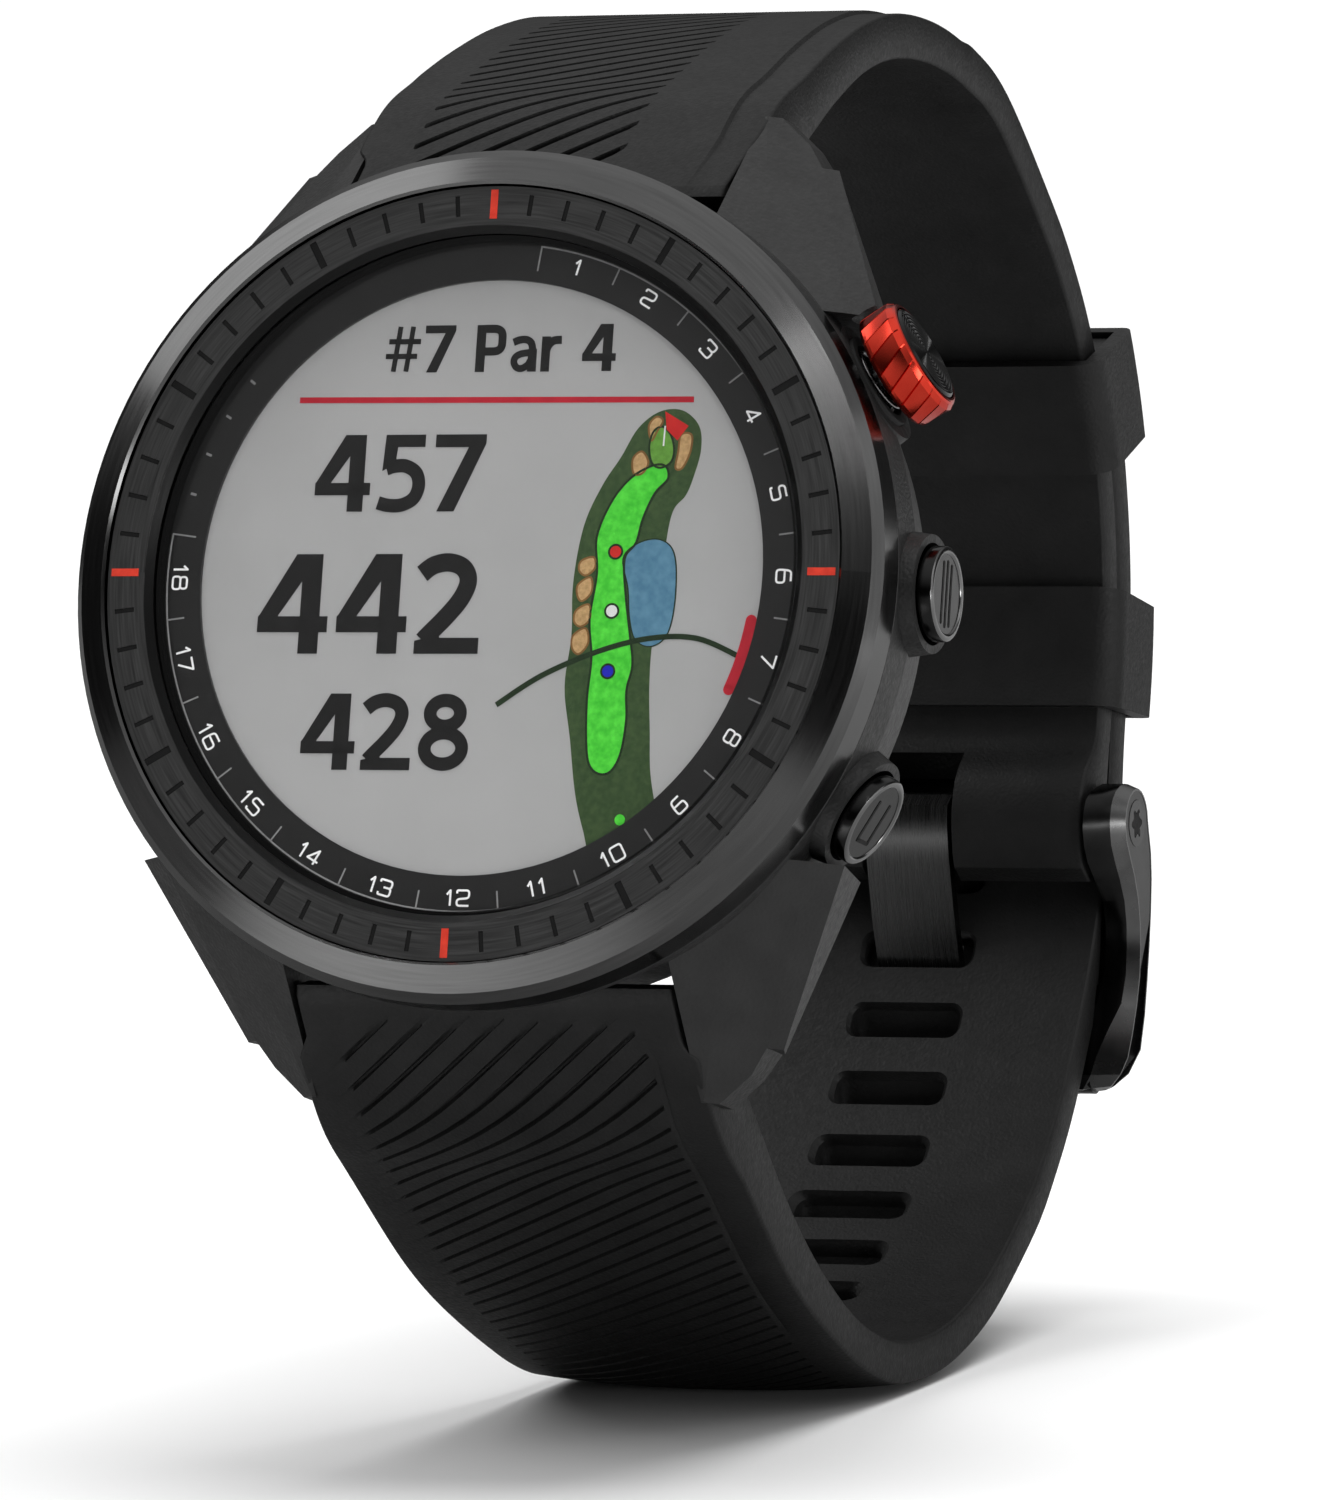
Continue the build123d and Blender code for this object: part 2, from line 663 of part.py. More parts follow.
with BuildPart() as short_strap:
    with BuildSketch(SIDE):
        o0, i0 = band_face(short_mid, short_thick, -1)
        root_face(1, o0, i0)
        # thick rounded end that wraps the buckle bar
        with BuildLine() as end:
            Polyline((71.95, -20.2), (71.1, -22.1), (67.35, -22.1),
                     (67.3, -20.2), (67.9, -18.5), (69.9, -16.3),
                     (73.0, -16.6), close=True)
        make_face(end.edges())
        with Locations((69.65, -20.5)):
            Circle(2.3)
        with Locations((69.22, -22.1)):
            Circle(1.9)
    extrude(amount=FLARE_W, both=True)
    for sx in (-1, 1):
        with BuildSketch(Plane.XY):
            with BuildLine():
                Polyline((sx * FLARE_W, 22 - DIAL_BACK), (sx * 14, -30),
                         (sx * 14, 60), (sx * BAND_W, 60),
                         (sx * BAND_W, 40 - DIAL_BACK), close=True)
            make_face()
        extrude(amount=120, mode=Mode.SUBTRACT)
    root_gap(1)
    cut_round(TOP_BAR, 1.0)
    latch_pocket(LATCH_TOP, -1)
    cut_round((PIN_Y, PIN_Z), 0.8)
    # opening for the tongue
    with BuildSketch(Plane.XZ.offset(-(64 - DIAL_BACK))):
        with Locations((0, DIAL_UP - 16.4)):
            Rectangle(5.8, 20, align=(Align.CENTER, Align.MAX))
    extrude(amount=-20, mode=Mode.SUBTRACT)
done(short_strap, "strap_short")

# release slides, one in each strap end
for tag, plane, way in (("upper", LATCH_TOP, -1), ("lower", LATCH_LOW, 1)):
    with BuildPart() as slide:
        for w, a, b, lo, hi in ((4.15, 2.6, 6.4, 1.1, 1.5),
                                (3.15, 2.9, 6.1, 1.4, 2.2),
                                (3.15, 5.2, 6.1, 2.0, 2.9)):
            with BuildSketch(plane.offset(lo)):
                with Locations((0, way * (a + b) / 2)):
                    Rectangle(2 * w, b - a)
            extrude(amount=hi - lo)
    done(slide, "release_slide_" + tag)


# =============================================================== keepers
def sector(r0, r1, inner, outer):
    """side view of a keeper: angles along its wrist and its outer edge"""
    with BuildLine() as ln:
        i = ThreePointArc(*[polar(r0, a) for a in inner])
        o = ThreePointArc(*[polar(r1, a) for a in outer])
        Line(o @ 0, i @ 0)
        Line(o @ 1, i @ 1)
    make_face(ln.edges())


# wrist side of each keeper is longer than its outer side
for tag, r0, r1, inner, outer in (
        ("loose", 25.55, 30.85, (11.8, 20, 28.3), (12.8, 19, 25.2)),
        ("fixed", 25.58, 31.05, (-20.4, -12, -3.8), (-18.3, -12, -6.4))):
    with BuildPart() as keeper:
        with BuildSketch(SIDE):
            sector(r0 - 1.0, r1 + 0.8, inner, outer)
        extrude(amount=12.2, both=True)
        long_edges = keeper.edges().filter_by(GeomType.CIRCLE)
        fillet([e for e in long_edges if e.radius < 27], 1.7)
        fillet([e for e in keeper.edges().filter_by(GeomType.CIRCLE)
                if abs(e.radius - r1 - 0.8) < 0.01], 0.7)
        with BuildSketch(SIDE):
            sector(r0, r1, (inner[0] - 4, inner[1], inner[2] + 4),
                   (inner[0] - 4, inner[1], inner[2] + 4))
        extrude(amount=11.25, both=True, mode=Mode.SUBTRACT)
    done(keeper, "keeper_" + tag)

# ================================================================ buckle
print("buckle")
CROSS = (68.85, -35.35)
EYE_R = 2.35
frame_mid = [(PIN_Y, PIN_Z), (71.4, -24.0), (71.6, -26.3), (71.15, -28.8),
             (70.3, -31.3), (69.5, -33.6), CROSS]
with BuildPart() as buckle:
    with BuildSketch(SIDE):
        band_face(frame_mid, [4.6, 3.6, 2.8, 2.3, 2.1, 2.2, 2.4], 1)
        with Locations((PIN_Y, PIN_Z)):
            Circle(EYE_R)
    extrude(amount=BUCKLE_OUT, both=True)
    with BuildSketch(SIDE):
        with Locations((PIN_Y, PIN_Z - 7)):
            Rectangle(20, 30)
    extrude(amount=BUCKLE_IN, both=True, mode=Mode.SUBTRACT)
    with BuildSketch(SIDE):
        with Locations(CROSS):
            Circle(1.3)
    extrude(amount=BUCKLE_OUT, both=True)
    # rounded lower corners
    for sx in (-1, 1):
        with BuildSketch(Plane.XZ.offset(-20)):
            with Locations((sx * 12.5, DIAL_UP - 35.6)):
                Rectangle(4, 4)
            with Locations((sx * 10.5, DIAL_UP - 33.6)):
                Circle(3.0, mode=Mode.SUBTRACT)
        extrude(amount=-20, mode=Mode.SUBTRACT)
    with BuildSketch(SIDE):
        with Locations((PIN_Y, PIN_Z)):
            Circle(0.6)
    extrude(amount=20, both=True, mode=Mode.SUBTRACT)
    for sx in (-1, 1):
        with BuildSketch(SIDE.offset(sx * (BUCKLE_OUT - 0.6))):
            with Locations((PIN_Y, PIN_Z)):
                Circle(1.55)
        extrude(amount=sx * 2, mode=Mode.SUBTRACT)
done(buckle, "buckle_frame")

with BuildPart() as pin:
    with BuildSketch(SIDE):
        with Locations((PIN_Y, PIN_Z)):
            Circle(0.74)
    extrude(amount=BUCKLE_IN - 0.05, both=True)
    for sx in (-1, 1):
        with BuildSketch(SIDE.offset(sx * 8.2)):
            with Locations((PIN_Y, PIN_Z)):
                Circle(0.56)
        extrude(amount=sx * 5, mode=Mode.SUBTRACT)
done(pin, "buckle_bar")

with BuildPart() as bolts:
    for sx in (-1, 1):
        with BuildSketch(SIDE.offset(sx * (BUCKLE_OUT - 0.58))):
            with Locations((PIN_Y, PIN_Z)):
                Circle(1.5)
        extrude(amount=sx * 0.55)
        with BuildSketch(SIDE.offset(sx * 8.5)):
            with Locations((PIN_Y, PIN_Z)):
                Circle(0.55)
        extrude(amount=sx * 4.5)
        with BuildSketch(SIDE.offset(sx * (BUCKLE_OUT - 0.33))):
            with Locations((PIN_Y, PIN_Z)):
                RegularPolygon(0.62, 6)
                RegularPolygon(0.62, 6, rotation=30)
        extrude(amount=sx * 2, mode=Mode.SUBTRACT)
done(bolts, "buckle_screws")

with BuildPart() as tongue:
    with BuildSketch(SIDE):
        with Locations((PIN_Y, PIN_Z)):
            Circle(1.75)
        with BuildLine() as eye:
            Polyline((PIN_Y, PIN_Z + 1.75), (68.4, -18.75), (67.55, -19.3),
                     (67.5, -21.4), (68.5, -23.4), (PIN_Y + 0.7, -22.2),
                     close=True)
        make_face(eye.edges())
        band_face(tongue_mid, [0.8] * 7, 1)
        with Locations((PIN_Y, PIN_Z)):
            Circle(0.8, mode=Mode.SUBTRACT)
    extrude(amount=2.6, both=True)
done(tongue, "buckle_tongue")
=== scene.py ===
"""Golf GPS watch: the looks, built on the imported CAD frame.

Lengths are written in millimetres and turned into metres by MM.
Dial coordinates: x to 3 o'clock, y to noon, z out of the dial.
Side coordinates: depth behind and height above the centre of the dial.
"""
import json
import math
import bpy
import bmesh
from mathutils import Matrix, Vector


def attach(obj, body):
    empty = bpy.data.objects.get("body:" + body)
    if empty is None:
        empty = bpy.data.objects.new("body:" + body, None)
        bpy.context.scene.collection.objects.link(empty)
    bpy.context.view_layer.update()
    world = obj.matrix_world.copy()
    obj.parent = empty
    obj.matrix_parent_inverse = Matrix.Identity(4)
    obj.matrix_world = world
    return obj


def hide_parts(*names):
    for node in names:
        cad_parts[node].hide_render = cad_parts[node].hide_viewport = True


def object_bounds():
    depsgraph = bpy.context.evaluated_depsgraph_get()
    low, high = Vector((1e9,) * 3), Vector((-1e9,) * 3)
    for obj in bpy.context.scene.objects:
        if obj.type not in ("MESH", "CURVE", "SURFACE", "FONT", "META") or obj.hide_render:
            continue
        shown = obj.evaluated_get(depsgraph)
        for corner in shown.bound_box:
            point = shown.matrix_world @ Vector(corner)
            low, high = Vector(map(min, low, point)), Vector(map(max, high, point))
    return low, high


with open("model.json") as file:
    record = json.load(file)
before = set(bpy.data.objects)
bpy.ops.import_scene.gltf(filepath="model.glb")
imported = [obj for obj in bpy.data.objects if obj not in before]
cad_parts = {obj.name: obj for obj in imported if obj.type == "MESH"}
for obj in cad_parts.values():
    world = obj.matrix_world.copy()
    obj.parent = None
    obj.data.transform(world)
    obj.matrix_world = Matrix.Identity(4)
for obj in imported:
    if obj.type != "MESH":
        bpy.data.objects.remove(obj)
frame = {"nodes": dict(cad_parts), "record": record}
NODES = frame["nodes"]
cad_low, cad_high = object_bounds()

MM = 0.001
LEAN = math.radians(15)
S15, C15 = math.sin(LEAN), math.cos(LEAN)
CENTRE = Vector((0, -38.5, 49.72))
BEND = (47.2, -5.0)             # middle of the rear bend, side view
ROOT = "head_and_band"


# ------------------------------------------------------------- coordinates
def dial(x, y, z):
    return (CENTRE + Vector((x, y * S15 - z * C15, y * C15 + z * S15))) * MM


def spot(x, y, z):
    """side view: x across, y behind and z above the dial centre"""
    return (CENTRE + Vector((x, y, z))) * MM


def side(y, z):
    return (y * S15 - z * C15, y * C15 + z * S15)


def bend(r, deg):
    a = math.radians(deg)
    return (BEND[0] + r * math.cos(a), BEND[1] + r * math.sin(a))


def ease(t):
    t = min(max(t, 0.0), 1.0)
    return t * t * (3 - 2 * t)


# ---------------------------------------------------------------- materials
M = {}                          # every material, by name


class Finish:
    """a Principled material with helpers for its procedural nodes"""

    def __init__(self, name, **sockets):
        self.m = M[name] = bpy.data.materials.new(name)
        self.m.use_nodes = True
        self.t = self.m.node_tree
        self.b = self.t.nodes["Principled BSDF"]
        for key, value in sockets.items():
            self.b.inputs[key.replace("_", " ")].default_value = value
        self.pos = self.new("ShaderNodeTexCoord").outputs["Object"]

    def new(self, kind, **settings):
        n = self.t.nodes.new(kind)
        for key, value in settings.items():
            setattr(n, key, value)
        return n

    def link(self, a, b):
        self.t.links.new(a, b)

    def stretched(self, scale):
        n = self.new("ShaderNodeMapping")
        n.inputs["Scale"].default_value = scale
        self.link(self.pos, n.inputs["Vector"])
        return n.outputs[0]

    def noise(self, size, detail=2.0, where=None, roughness=0.5):
        n = self.new("ShaderNodeTexNoise")
        n.inputs["Scale"].default_value = 1.0 / (size * MM)
        n.inputs["Detail"].default_value = detail
        n.inputs["Roughness"].default_value = roughness
        self.link(where or self.pos, n.inputs["Vector"])
        return n.outputs["Fac"]

    def cells(self, size):
        n = self.new("ShaderNodeTexVoronoi", feature="SMOOTH_F1")
        n.inputs["Scale"].default_value = 1.0 / (size * MM)
        self.link(self.pos, n.inputs["Vector"])
        return n.outputs["Distance"]

    def span(self, value, lo, hi, a=0.3, b=0.7):
        n = self.new("ShaderNodeMapRange")
        for i, v in enumerate((a, b, lo, hi)):
            n.inputs[i + 1].default_value = v
        self.link(value, n.inputs[0])
        return n.outputs[0]

    def math(self, how, a, b=None):
        n = self.new("ShaderNodeMath", operation=how)
        for i, v in enumerate((a, b)):
            if v is None:
                continue
            if isinstance(v, (int, float)):
                n.inputs[i].default_value = v
            else:
                self.link(v, n.inputs[i])
        return n.outputs[0]

    def colour(self, value, *stops):
        """stops are (place, (r, g, b))"""
        n = self.new("ShaderNodeValToRGB")
        ramp = n.color_ramp
        while len(ramp.elements) < len(stops):
            ramp.elements.new(0.5)
        for e, (at, rgb) in zip(ramp.elements, stops):
            e.position, e.color = at, (*rgb, 1)
        self.link(value, n.inputs["Fac"])
        self.link(n.outputs["Color"], self.b.inputs["Base Color"])
        return n.outputs["Color"]

    def rough(self, value, lo, hi):
        self.link(self.span(value, lo, hi), self.b.inputs["Roughness"])

    def bump(self, value, depth):
        n = self.new("ShaderNodeBump")
        n.inputs["Distance"].default_value = depth * MM
        n.inputs["Strength"].default_value = 1.0
        self.link(value, n.inputs["Height"])
        self.link(n.outputs["Normal"], self.b.inputs["Normal"])

    def dot(self, direction, origin=(0, 0, 0)):
        less = self.new("ShaderNodeVectorMath", operation="SUBTRACT")
        less.inputs[1].default_value = origin
        self.link(self.pos, less.inputs[0])
        n = self.new("ShaderNodeVectorMath", operation="DOT_PRODUCT")
        n.inputs[1].default_value = direction
        self.link(less.outputs[0], n.inputs[0])
        return n.outputs["Value"]

    def from_hub(self):
        """distance from the axis of the dial, and angle round it"""
        a, b = self.dot(X_AXIS, HUB), self.dot(NOON, HUB)
        r = self.math("SQRT", self.math("ADD", self.math("MULTIPLY", a, a),
                                        self.math("MULTIPLY", b, b)))
        return r, self.math("ARCTAN2", b, a)

    def turned(self, fine, coarse):
        """coordinates for rings round the axis of the dial"""
        r, ang = self.from_hub()
        c = self.new("ShaderNodeCombineXYZ")
        self.link(self.math("MULTIPLY", r, fine), c.inputs[0])
        self.link(self.math("MULTIPLY", ang, coarse), c.inputs[1])
        return c.outputs[0]


X_AXIS, NOON, OUT = (1, 0, 0), (0, S15, C15), (0, -C15, S15)
HUB = tuple(CENTRE * MM)


def moulded(name, dark, light, grain, depth, rough, spec=0.4):
    """moulded plastic or rubber with a fine leather-like grain"""
    f = Finish(name, Specular_IOR_Level=spec)
    f.colour(f.noise(2.5, 3), (0.3, dark), (0.7, light))
    fine = f.noise(grain * 1.3, 4, roughness=0.6)
    pattern = f.math("ADD", f.math("MULTIPLY", f.cells(grain), 0.8),
                     f.math("MULTIPLY", fine, 0.6))
    f.rough(f.noise(grain * 2, 3), rough[0], rough[1])
    f.bump(pattern, depth)


def plain(name, dark, light, rough, blotch=1.0, metal=0.0, spec=0.5,
          grain=0.08, depth=0.004):
    """smooth surface, a little uneven in tone and polish"""
    f = Finish(name, Metallic=metal, Specular_IOR_Level=spec)
    f.colour(f.noise(blotch, 3), (0.3, dark), (0.7, light))
    f.rough(f.noise(grain * 4, 3), rough[0], rough[1])
    f.bump(f.noise(grain, 2), depth)


def brushed(name, dark, light, rough, lines, depth=0.003,
            black_inside=0.0):
    """metal turned round the dial, black within the radius black_inside"""
    f = Finish(name, Metallic=1.0, Specular_IOR_Level=0.5)
    where = f.turned(lines / MM, 5.0)
    n = f.new("ShaderNodeTexNoise")
    n.inputs["Scale"].default_value = 1.0
    n.inputs["Detail"].default_value = 3
    f.link(where, n.inputs["Vector"])
    tone, stops = n.outputs["Fac"], [(0.3, dark), (0.7, light)]
    if black_inside:
        tone = f.math("MULTIPLY", tone, f.span(
            f.from_hub()[0], 0.1, 1.0, black_inside * MM,
            (black_inside + 0.08) * MM))
        stops.insert(0, (0.1, grey(0.015)))
    f.colour(tone, *stops)
    f.rough(n.outputs["Fac"], rough[0], rough[1])
    f.bump(n.outputs["Fac"], depth)


def grey(v):
    return (v, v, v)


def shine(name, dark, light, strength, blotch=0.8):
    """colours of the screen and the ring print: part paint, part painted light, a glow
    that stands in for the light they catch
    """
    f = Finish(name, Specular_IOR_Level=0.1)
    col = f.colour(f.noise(blotch, 3), (0.3, dark), (0.7, light))
    f.link(col, f.b.inputs["Emission Color"])
    f.b.inputs["Emission Strength"].default_value = strength
    f.rough(f.noise(0.4), 0.6, 0.7)


# painted glow of the screen colours: emission that brightens them as the light falling on
# them would
PAINTED_GLOW = 0.35
moulded("case_polymer", grey(0.011), grey(0.017), 0.20, 0.030, (0.40, 0.54))
moulded("strap_silicone", grey(0.0066), grey(0.0096), 0.18, 0.026,
        (0.46, 0.58), 0.28)
moulded("cover_polymer", grey(0.014), grey(0.021), 0.18, 0.014, (0.40, 0.54),
        0.5)
brushed("dark_ceramic", grey(0.085), grey(0.105), (0.14, 0.20), 6.0, 0.0008)
brushed("dark_aluminium", grey(0.095), grey(0.150), (0.34, 0.44), 9.0,
        0.0015, black_inside=19.12)
brushed("antenna", grey(0.35), grey(0.5), (0.3, 0.4), 8.0)
plain("red_enamel", (0.62, 0.035, 0.018), (0.78, 0.055, 0.028), (0.30, 0.42),
      0.6)
plain("tick_fill", grey(0.007), grey(0.010), (0.50, 0.60), spec=0.15)
plain("seal_rubber", grey(0.010), grey(0.016), (0.6, 0.75), grain=0.15,
      depth=0.01)
plain("black_gloss", grey(0.008), grey(0.011), (0.34, 0.37), 4.0, spec=0.42,
      grain=3.0, depth=0.0)
plain("white_plastic", grey(0.72), grey(0.80), (0.35, 0.5))
plain("frame_plastic", grey(0.05), grey(0.07), (0.4, 0.55))
plain("circuit_board", (0.010, 0.055, 0.028), (0.018, 0.085, 0.040),
      (0.3, 0.45), 0.5)
plain("chip_black", grey(0.012), grey(0.022), (0.4, 0.55))
plain("battery_foil", grey(0.45), grey(0.6), (0.25, 0.4), 3.0, metal=1.0)
plain("steel", grey(0.34), grey(0.44), (0.20, 0.32), 0.5, metal=1.0,
      depth=0.001)
plain("tungsten", grey(0.20), grey(0.28), (0.3, 0.4), 0.5, metal=1.0)
plain("sensor_black", grey(0.004), grey(0.007), (0.06, 0.12), depth=0.0006)
plain("led", (0.10, 0.42, 0.14), (0.16, 0.55, 0.20), (0.2, 0.3))
plain("contact_gold", (0.80, 0.52, 0.20), (0.88, 0.62, 0.28), (0.16, 0.26),
      metal=1.0)
plain("bush_brass", (0.50, 0.36, 0.15), (0.60, 0.44, 0.20), (0.2, 0.3),
      metal=1.0)
# near-black: the marks on the caps, and the painted shade of the screw sockets
plain("cap_mark_and_socket_shade", grey(0.002), grey(0.003), (0.45, 0.55), spec=0.15)
for name, dark, light, rough, blotch, depth in (
        ("red_anodised", (0.62, 0.038, 0.022), (0.72, 0.055, 0.032),
         (0.16, 0.22), 1.5, 0.0003),
        ("button_metal", grey(0.022), grey(0.030), (0.14, 0.20), 1.5, 0.0003),
        # lighter copy of the cap metal for the rim: a painted highlight line
        ("button_rim_highlight", grey(0.15), grey(0.19), (0.14, 0.20), 1.5, 0.0003),
        ("buckle_metal", grey(0.018), grey(0.025), (0.20, 0.27), 2.0, 0.0004),
        # lighter copy of the buckle metal for the bevel: a painted highlight line
        ("buckle_bevel_highlight", grey(0.10), grey(0.14), (0.24, 0.30), 2.0, 0.0003)):
    plain(name, dark, light, rough, blotch, metal=1.0, grain=0.3, depth=depth)
shine("screen", grey(0.33), grey(0.35), PAINTED_GLOW, blotch=6.0)
shine("screen_ink", grey(0.010), grey(0.014), 0.0)
# the ring print glows as well: painted light on printed figures
shine("ring_print", grey(0.66), grey(0.76), 0.50)
shine("ring_print_dim", grey(0.26), grey(0.32), 0.12)
shine("map_rim", (0.012, 0.030, 0.010), (0.018, 0.040, 0.014), 0.0)
for name, dark, light, blotch in (
        ("screen_red", (0.36, 0.010, 0.022), (0.42, 0.014, 0.028), 0.8),
        ("map_rough", (0.022, 0.050, 0.016), (0.042, 0.075, 0.026), 0.35),
        ("map_fairway", (0.035, 0.44, 0.022), (0.085, 0.62, 0.050), 0.45),
        ("map_green", (0.085, 0.22, 0.030), (0.12, 0.30, 0.045), 0.3),
        ("map_sand", (0.34, 0.21, 0.090), (0.50, 0.32, 0.15), 0.22),
        ("map_earth", (0.16, 0.075, 0.022), (0.20, 0.10, 0.03), 0.8),
        ("map_water", (0.060, 0.16, 0.25), (0.095, 0.22, 0.32), 0.5),
        ("map_white", grey(0.58), grey(0.66), 0.8),
        ("map_blue", (0.008, 0.010, 0.35), (0.012, 0.016, 0.42), 0.8),
        ("map_red", (0.45, 0.012, 0.012), (0.55, 0.022, 0.018), 0.8)):
    shine(name, dark, light, PAINTED_GLOW, blotch)

# tongue: brushed along its length
f = Finish("tongue_metal", Metallic=1.0)
streak = f.noise(1.0, 3, f.stretched((22.0, 0.35, 0.35)))
f.colour(streak, (0.3, grey(0.070)), (0.7, grey(0.105)))
f.rough(streak, 0.22, 0.32)
f.bump(streak, 0.002)

# glass, blackened behind its rim
f = Finish("glass", Transmission_Weight=1.0, IOR=1.45)
f.colour(f.span(f.from_hub()[0], 1.0, 0.0, 18.42 * MM, 18.50 * MM),
         (0.0, grey(0.01)), (1.0, grey(0.99)))
f.rough(f.noise(3.0), 0.0, 0.01)

for part in frame["record"]["subparts"]:
    obj = NODES[part["node"]]
    obj.data.materials.clear()
    obj.data.materials.append(M[part["material_slot"]])


# ------------------------------------------------------------ mesh helpers
def piece(name, verts, faces, mat, body=ROOT, smooth=True,
          angle=35.0, clean=0.0):
    me = bpy.data.meshes.new(name)
    me.from_pydata([tuple(v) for v in verts], [], faces)
    bm = bmesh.new()
    bm.from_mesh(me)
    if clean:
        bmesh.ops.remove_doubles(bm, verts=bm.verts, dist=clean)
    bmesh.ops.recalc_face_normals(bm, faces=bm.faces)
    bm.to_mesh(me)
    bm.free()
    me.materials.append(mat)
    ob = bpy.data.objects.new(name, me)
    bpy.context.scene.collection.objects.link(ob)
    if smooth:
        soften(ob, angle)
    if body:
        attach(ob, body)
    return ob


def sides(n, levels):
    """faces between stacked closed rings of n points"""
    return [(k * n + j, k * n + (j + 1) % n, (k + 1) * n + (j + 1) % n,
             (k + 1) * n + j) for k in range(levels - 1) for j in range(n)]


def ends(n, levels):
    return [list(range(n)), list(range((levels - 1) * n, levels * n))]


def soften(ob, angle=35.0):
    me = ob.data
    me.polygons.foreach_set("use_smooth", [True] * len(me.polygons))
    bm = bmesh.new()
    bm.from_mesh(me)
    limit = math.radians(angle)
    for e in bm.edges:
        e.smooth = not (len(e.link_faces) == 2
                        and e.calc_face_angle(0.0) > limit)
    bm.to_mesh(me)
    bm.free()


def curve_through(points, steps=8, closed=False):
    """Catmull-Rom line through 2-D points"""
    n = len(points)
    out = []
    for k in range(n if closed else n - 1):
        if closed:
            q = [points[(k + j - 1) % n] for j in range(4)]
        else:
            q = [points[min(max(k + j - 1, 0), n - 1)] for j in range(4)]
        for s in range(steps):
            t = s / steps
            out.append(tuple(0.5 * (
                2 * b + (c - a) * t + (2 * a - 5 * b + 4 * c - d) * t * t
                + (3 * b - a - 3 * c + d) * t ** 3) for a, b, c, d in zip(*q)))
    if not closed:
        out.append(tuple(points[-1]))
    return out


def rounded(points, r, steps=5, closed=False):
    """polyline with its corners rounded"""
    out = []
    n = len(points)
    for k, p in enumerate(points):
        if not closed and k in (0, n - 1):
            out.append(tuple(p))
            continue
        p = Vector(p)
        a, b = Vector(points[k - 1]), Vector(points[(k + 1) % n])
        da, db = (a - p), (b - p)
        cut = min(r, da.length * 0.5, db.length * 0.5)
        p0, p1 = p + da.normalized() * cut, p + db.normalized() * cut
        for s in range(steps + 1):
            t = s / steps
            out.append(tuple(p0 * (1 - t) ** 2 + p * 2 * t * (1 - t)
                             + p1 * t * t))
    return out


def ribbon(points, width, closed=False):
    """outline polygons of a stroke: one quad strip as (left, right)"""
    pts = [Vector(p) for p in points]
    n = len(pts)
    left, right = [], []
    for k, p in enumerate(pts):
        if closed:
            a, b = pts[k - 1], pts[(k + 1) % n]
        else:
            a, b = pts[max(k - 1, 0)], pts[min(k + 1, n - 1)]
        d0 = (p - a).normalized() if (p - a).length > 1e-9 else None
        d1 = (b - p).normalized() if (b - p).length > 1e-9 else None
        d0, d1 = d0 or d1, d1 or d0
        t = (d0 + d1).normalized()
        nrm = Vector((-t.y, t.x))
        w = width / 2 / max(0.5, nrm.dot(Vector((-d0.y, d0.x))))
        left.append(p + nrm * w)
        right.append(p - nrm * w)
    return left, right


class Flat:
    """flat shapes on the dial, all of one thickness, as one mesh"""

    def __init__(self, z0, z1):
        self.z0, self.z1, self.v, self.f = z0, z1, [], []

    def area(self, outline):
        n, s = len(outline), len(self.v)
        self.v += [dial(x, y, self.z0) for x, y in outline]
        self.v += [dial(x, y, self.z1) for x, y in outline]
        self.f.append(list(range(s, s + n)))
        self.f.append(list(range(s + n, s + 2 * n)))
        self.f += [(s + k, s + (k + 1) % n, s + n + (k + 1) % n, s + n + k)
                   for k in range(n)]
        return self

    def stroke(self, points, width, closed=False):
        left, right = ribbon(points, width, closed)
        n, s = len(left), len(self.v)
        for a, b in zip(left, right):
            for q, z in ((a, self.z0), (b, self.z0), (b, self.z1),
                         (a, self.z1)):
                self.v.append(dial(q.x, q.y, z))
        for k in range(n if closed else n - 1):
            a, b = s + 4 * k, s + 4 * ((k + 1) % n)
            self.f += [(a + i, a + (i + 1) % 4, b + (i + 1) % 4, b + i)
                       for i in range(4)]
        if not closed:
            e = s + 4 * (n - 1)
            self.f += [(s, s + 1, s + 2, s + 3), (e, e + 1, e + 2, e + 3)]
        return self

    def disc(self, x, y, r, steps=28):
        return self.area([(x + r * math.cos(2 * math.pi * k / steps),
                           y + r * math.sin(2 * math.pi * k / steps))
                          for k in range(steps)])

    def make(self, name, mat):
        return piece(name, self.v, self.f, mat, ROOT, smooth=False)


# --------------------------------------------------- numerals of the ring
BOX = [(0, 0), (1, 0), (1, 1), (0, 1)]
GLYPH = {
    "0": [(BOX, True)],
    "1": [([(0.12, 0.72), (0.55, 1), (0.55, 0)], False)],
    "2": [([(0, 0.80), (0, 1), (1, 1), (1, 0.50), (0, 0.42), (0, 0),
            (1, 0)], False)],
    "3": [([(0, 0.82), (0, 1), (1, 1), (1, 0.52), (0.35, 0.52)], False),
          ([(0.55, 0.52), (1, 0.52), (1, 0), (0, 0), (0, 0.18)], False)],
    "4": [([(0.70, 0), (0.70, 1), (0, 0.26), (1, 0.26)], False)],
    "5": [([(0.95, 1), (0.06, 1), (0, 0.58), (1, 0.60), (1, 0), (0, 0),
            (0, 0.16)], False)],
    "6": [([(0.90, 1), (0.10, 1), (0, 0.55), (0, 0), (1, 0), (1, 0.56),
            (0, 0.56)], False)],
    "7": [([(0, 1), (1, 1), (0.36, 0)], False)],
    "8": [([(0.04, 0.53), (0.04, 1), (0.96, 1), (0.96, 0.53)], True),
          ([(0, 0), (1, 0), (1, 0.53), (0, 0.53)], True)],
    "9": [([(0.10, 0), (0.90, 0), (1, 0.45), (1, 1), (0, 1), (0, 0.44),
            (1, 0.44)], False)],
}


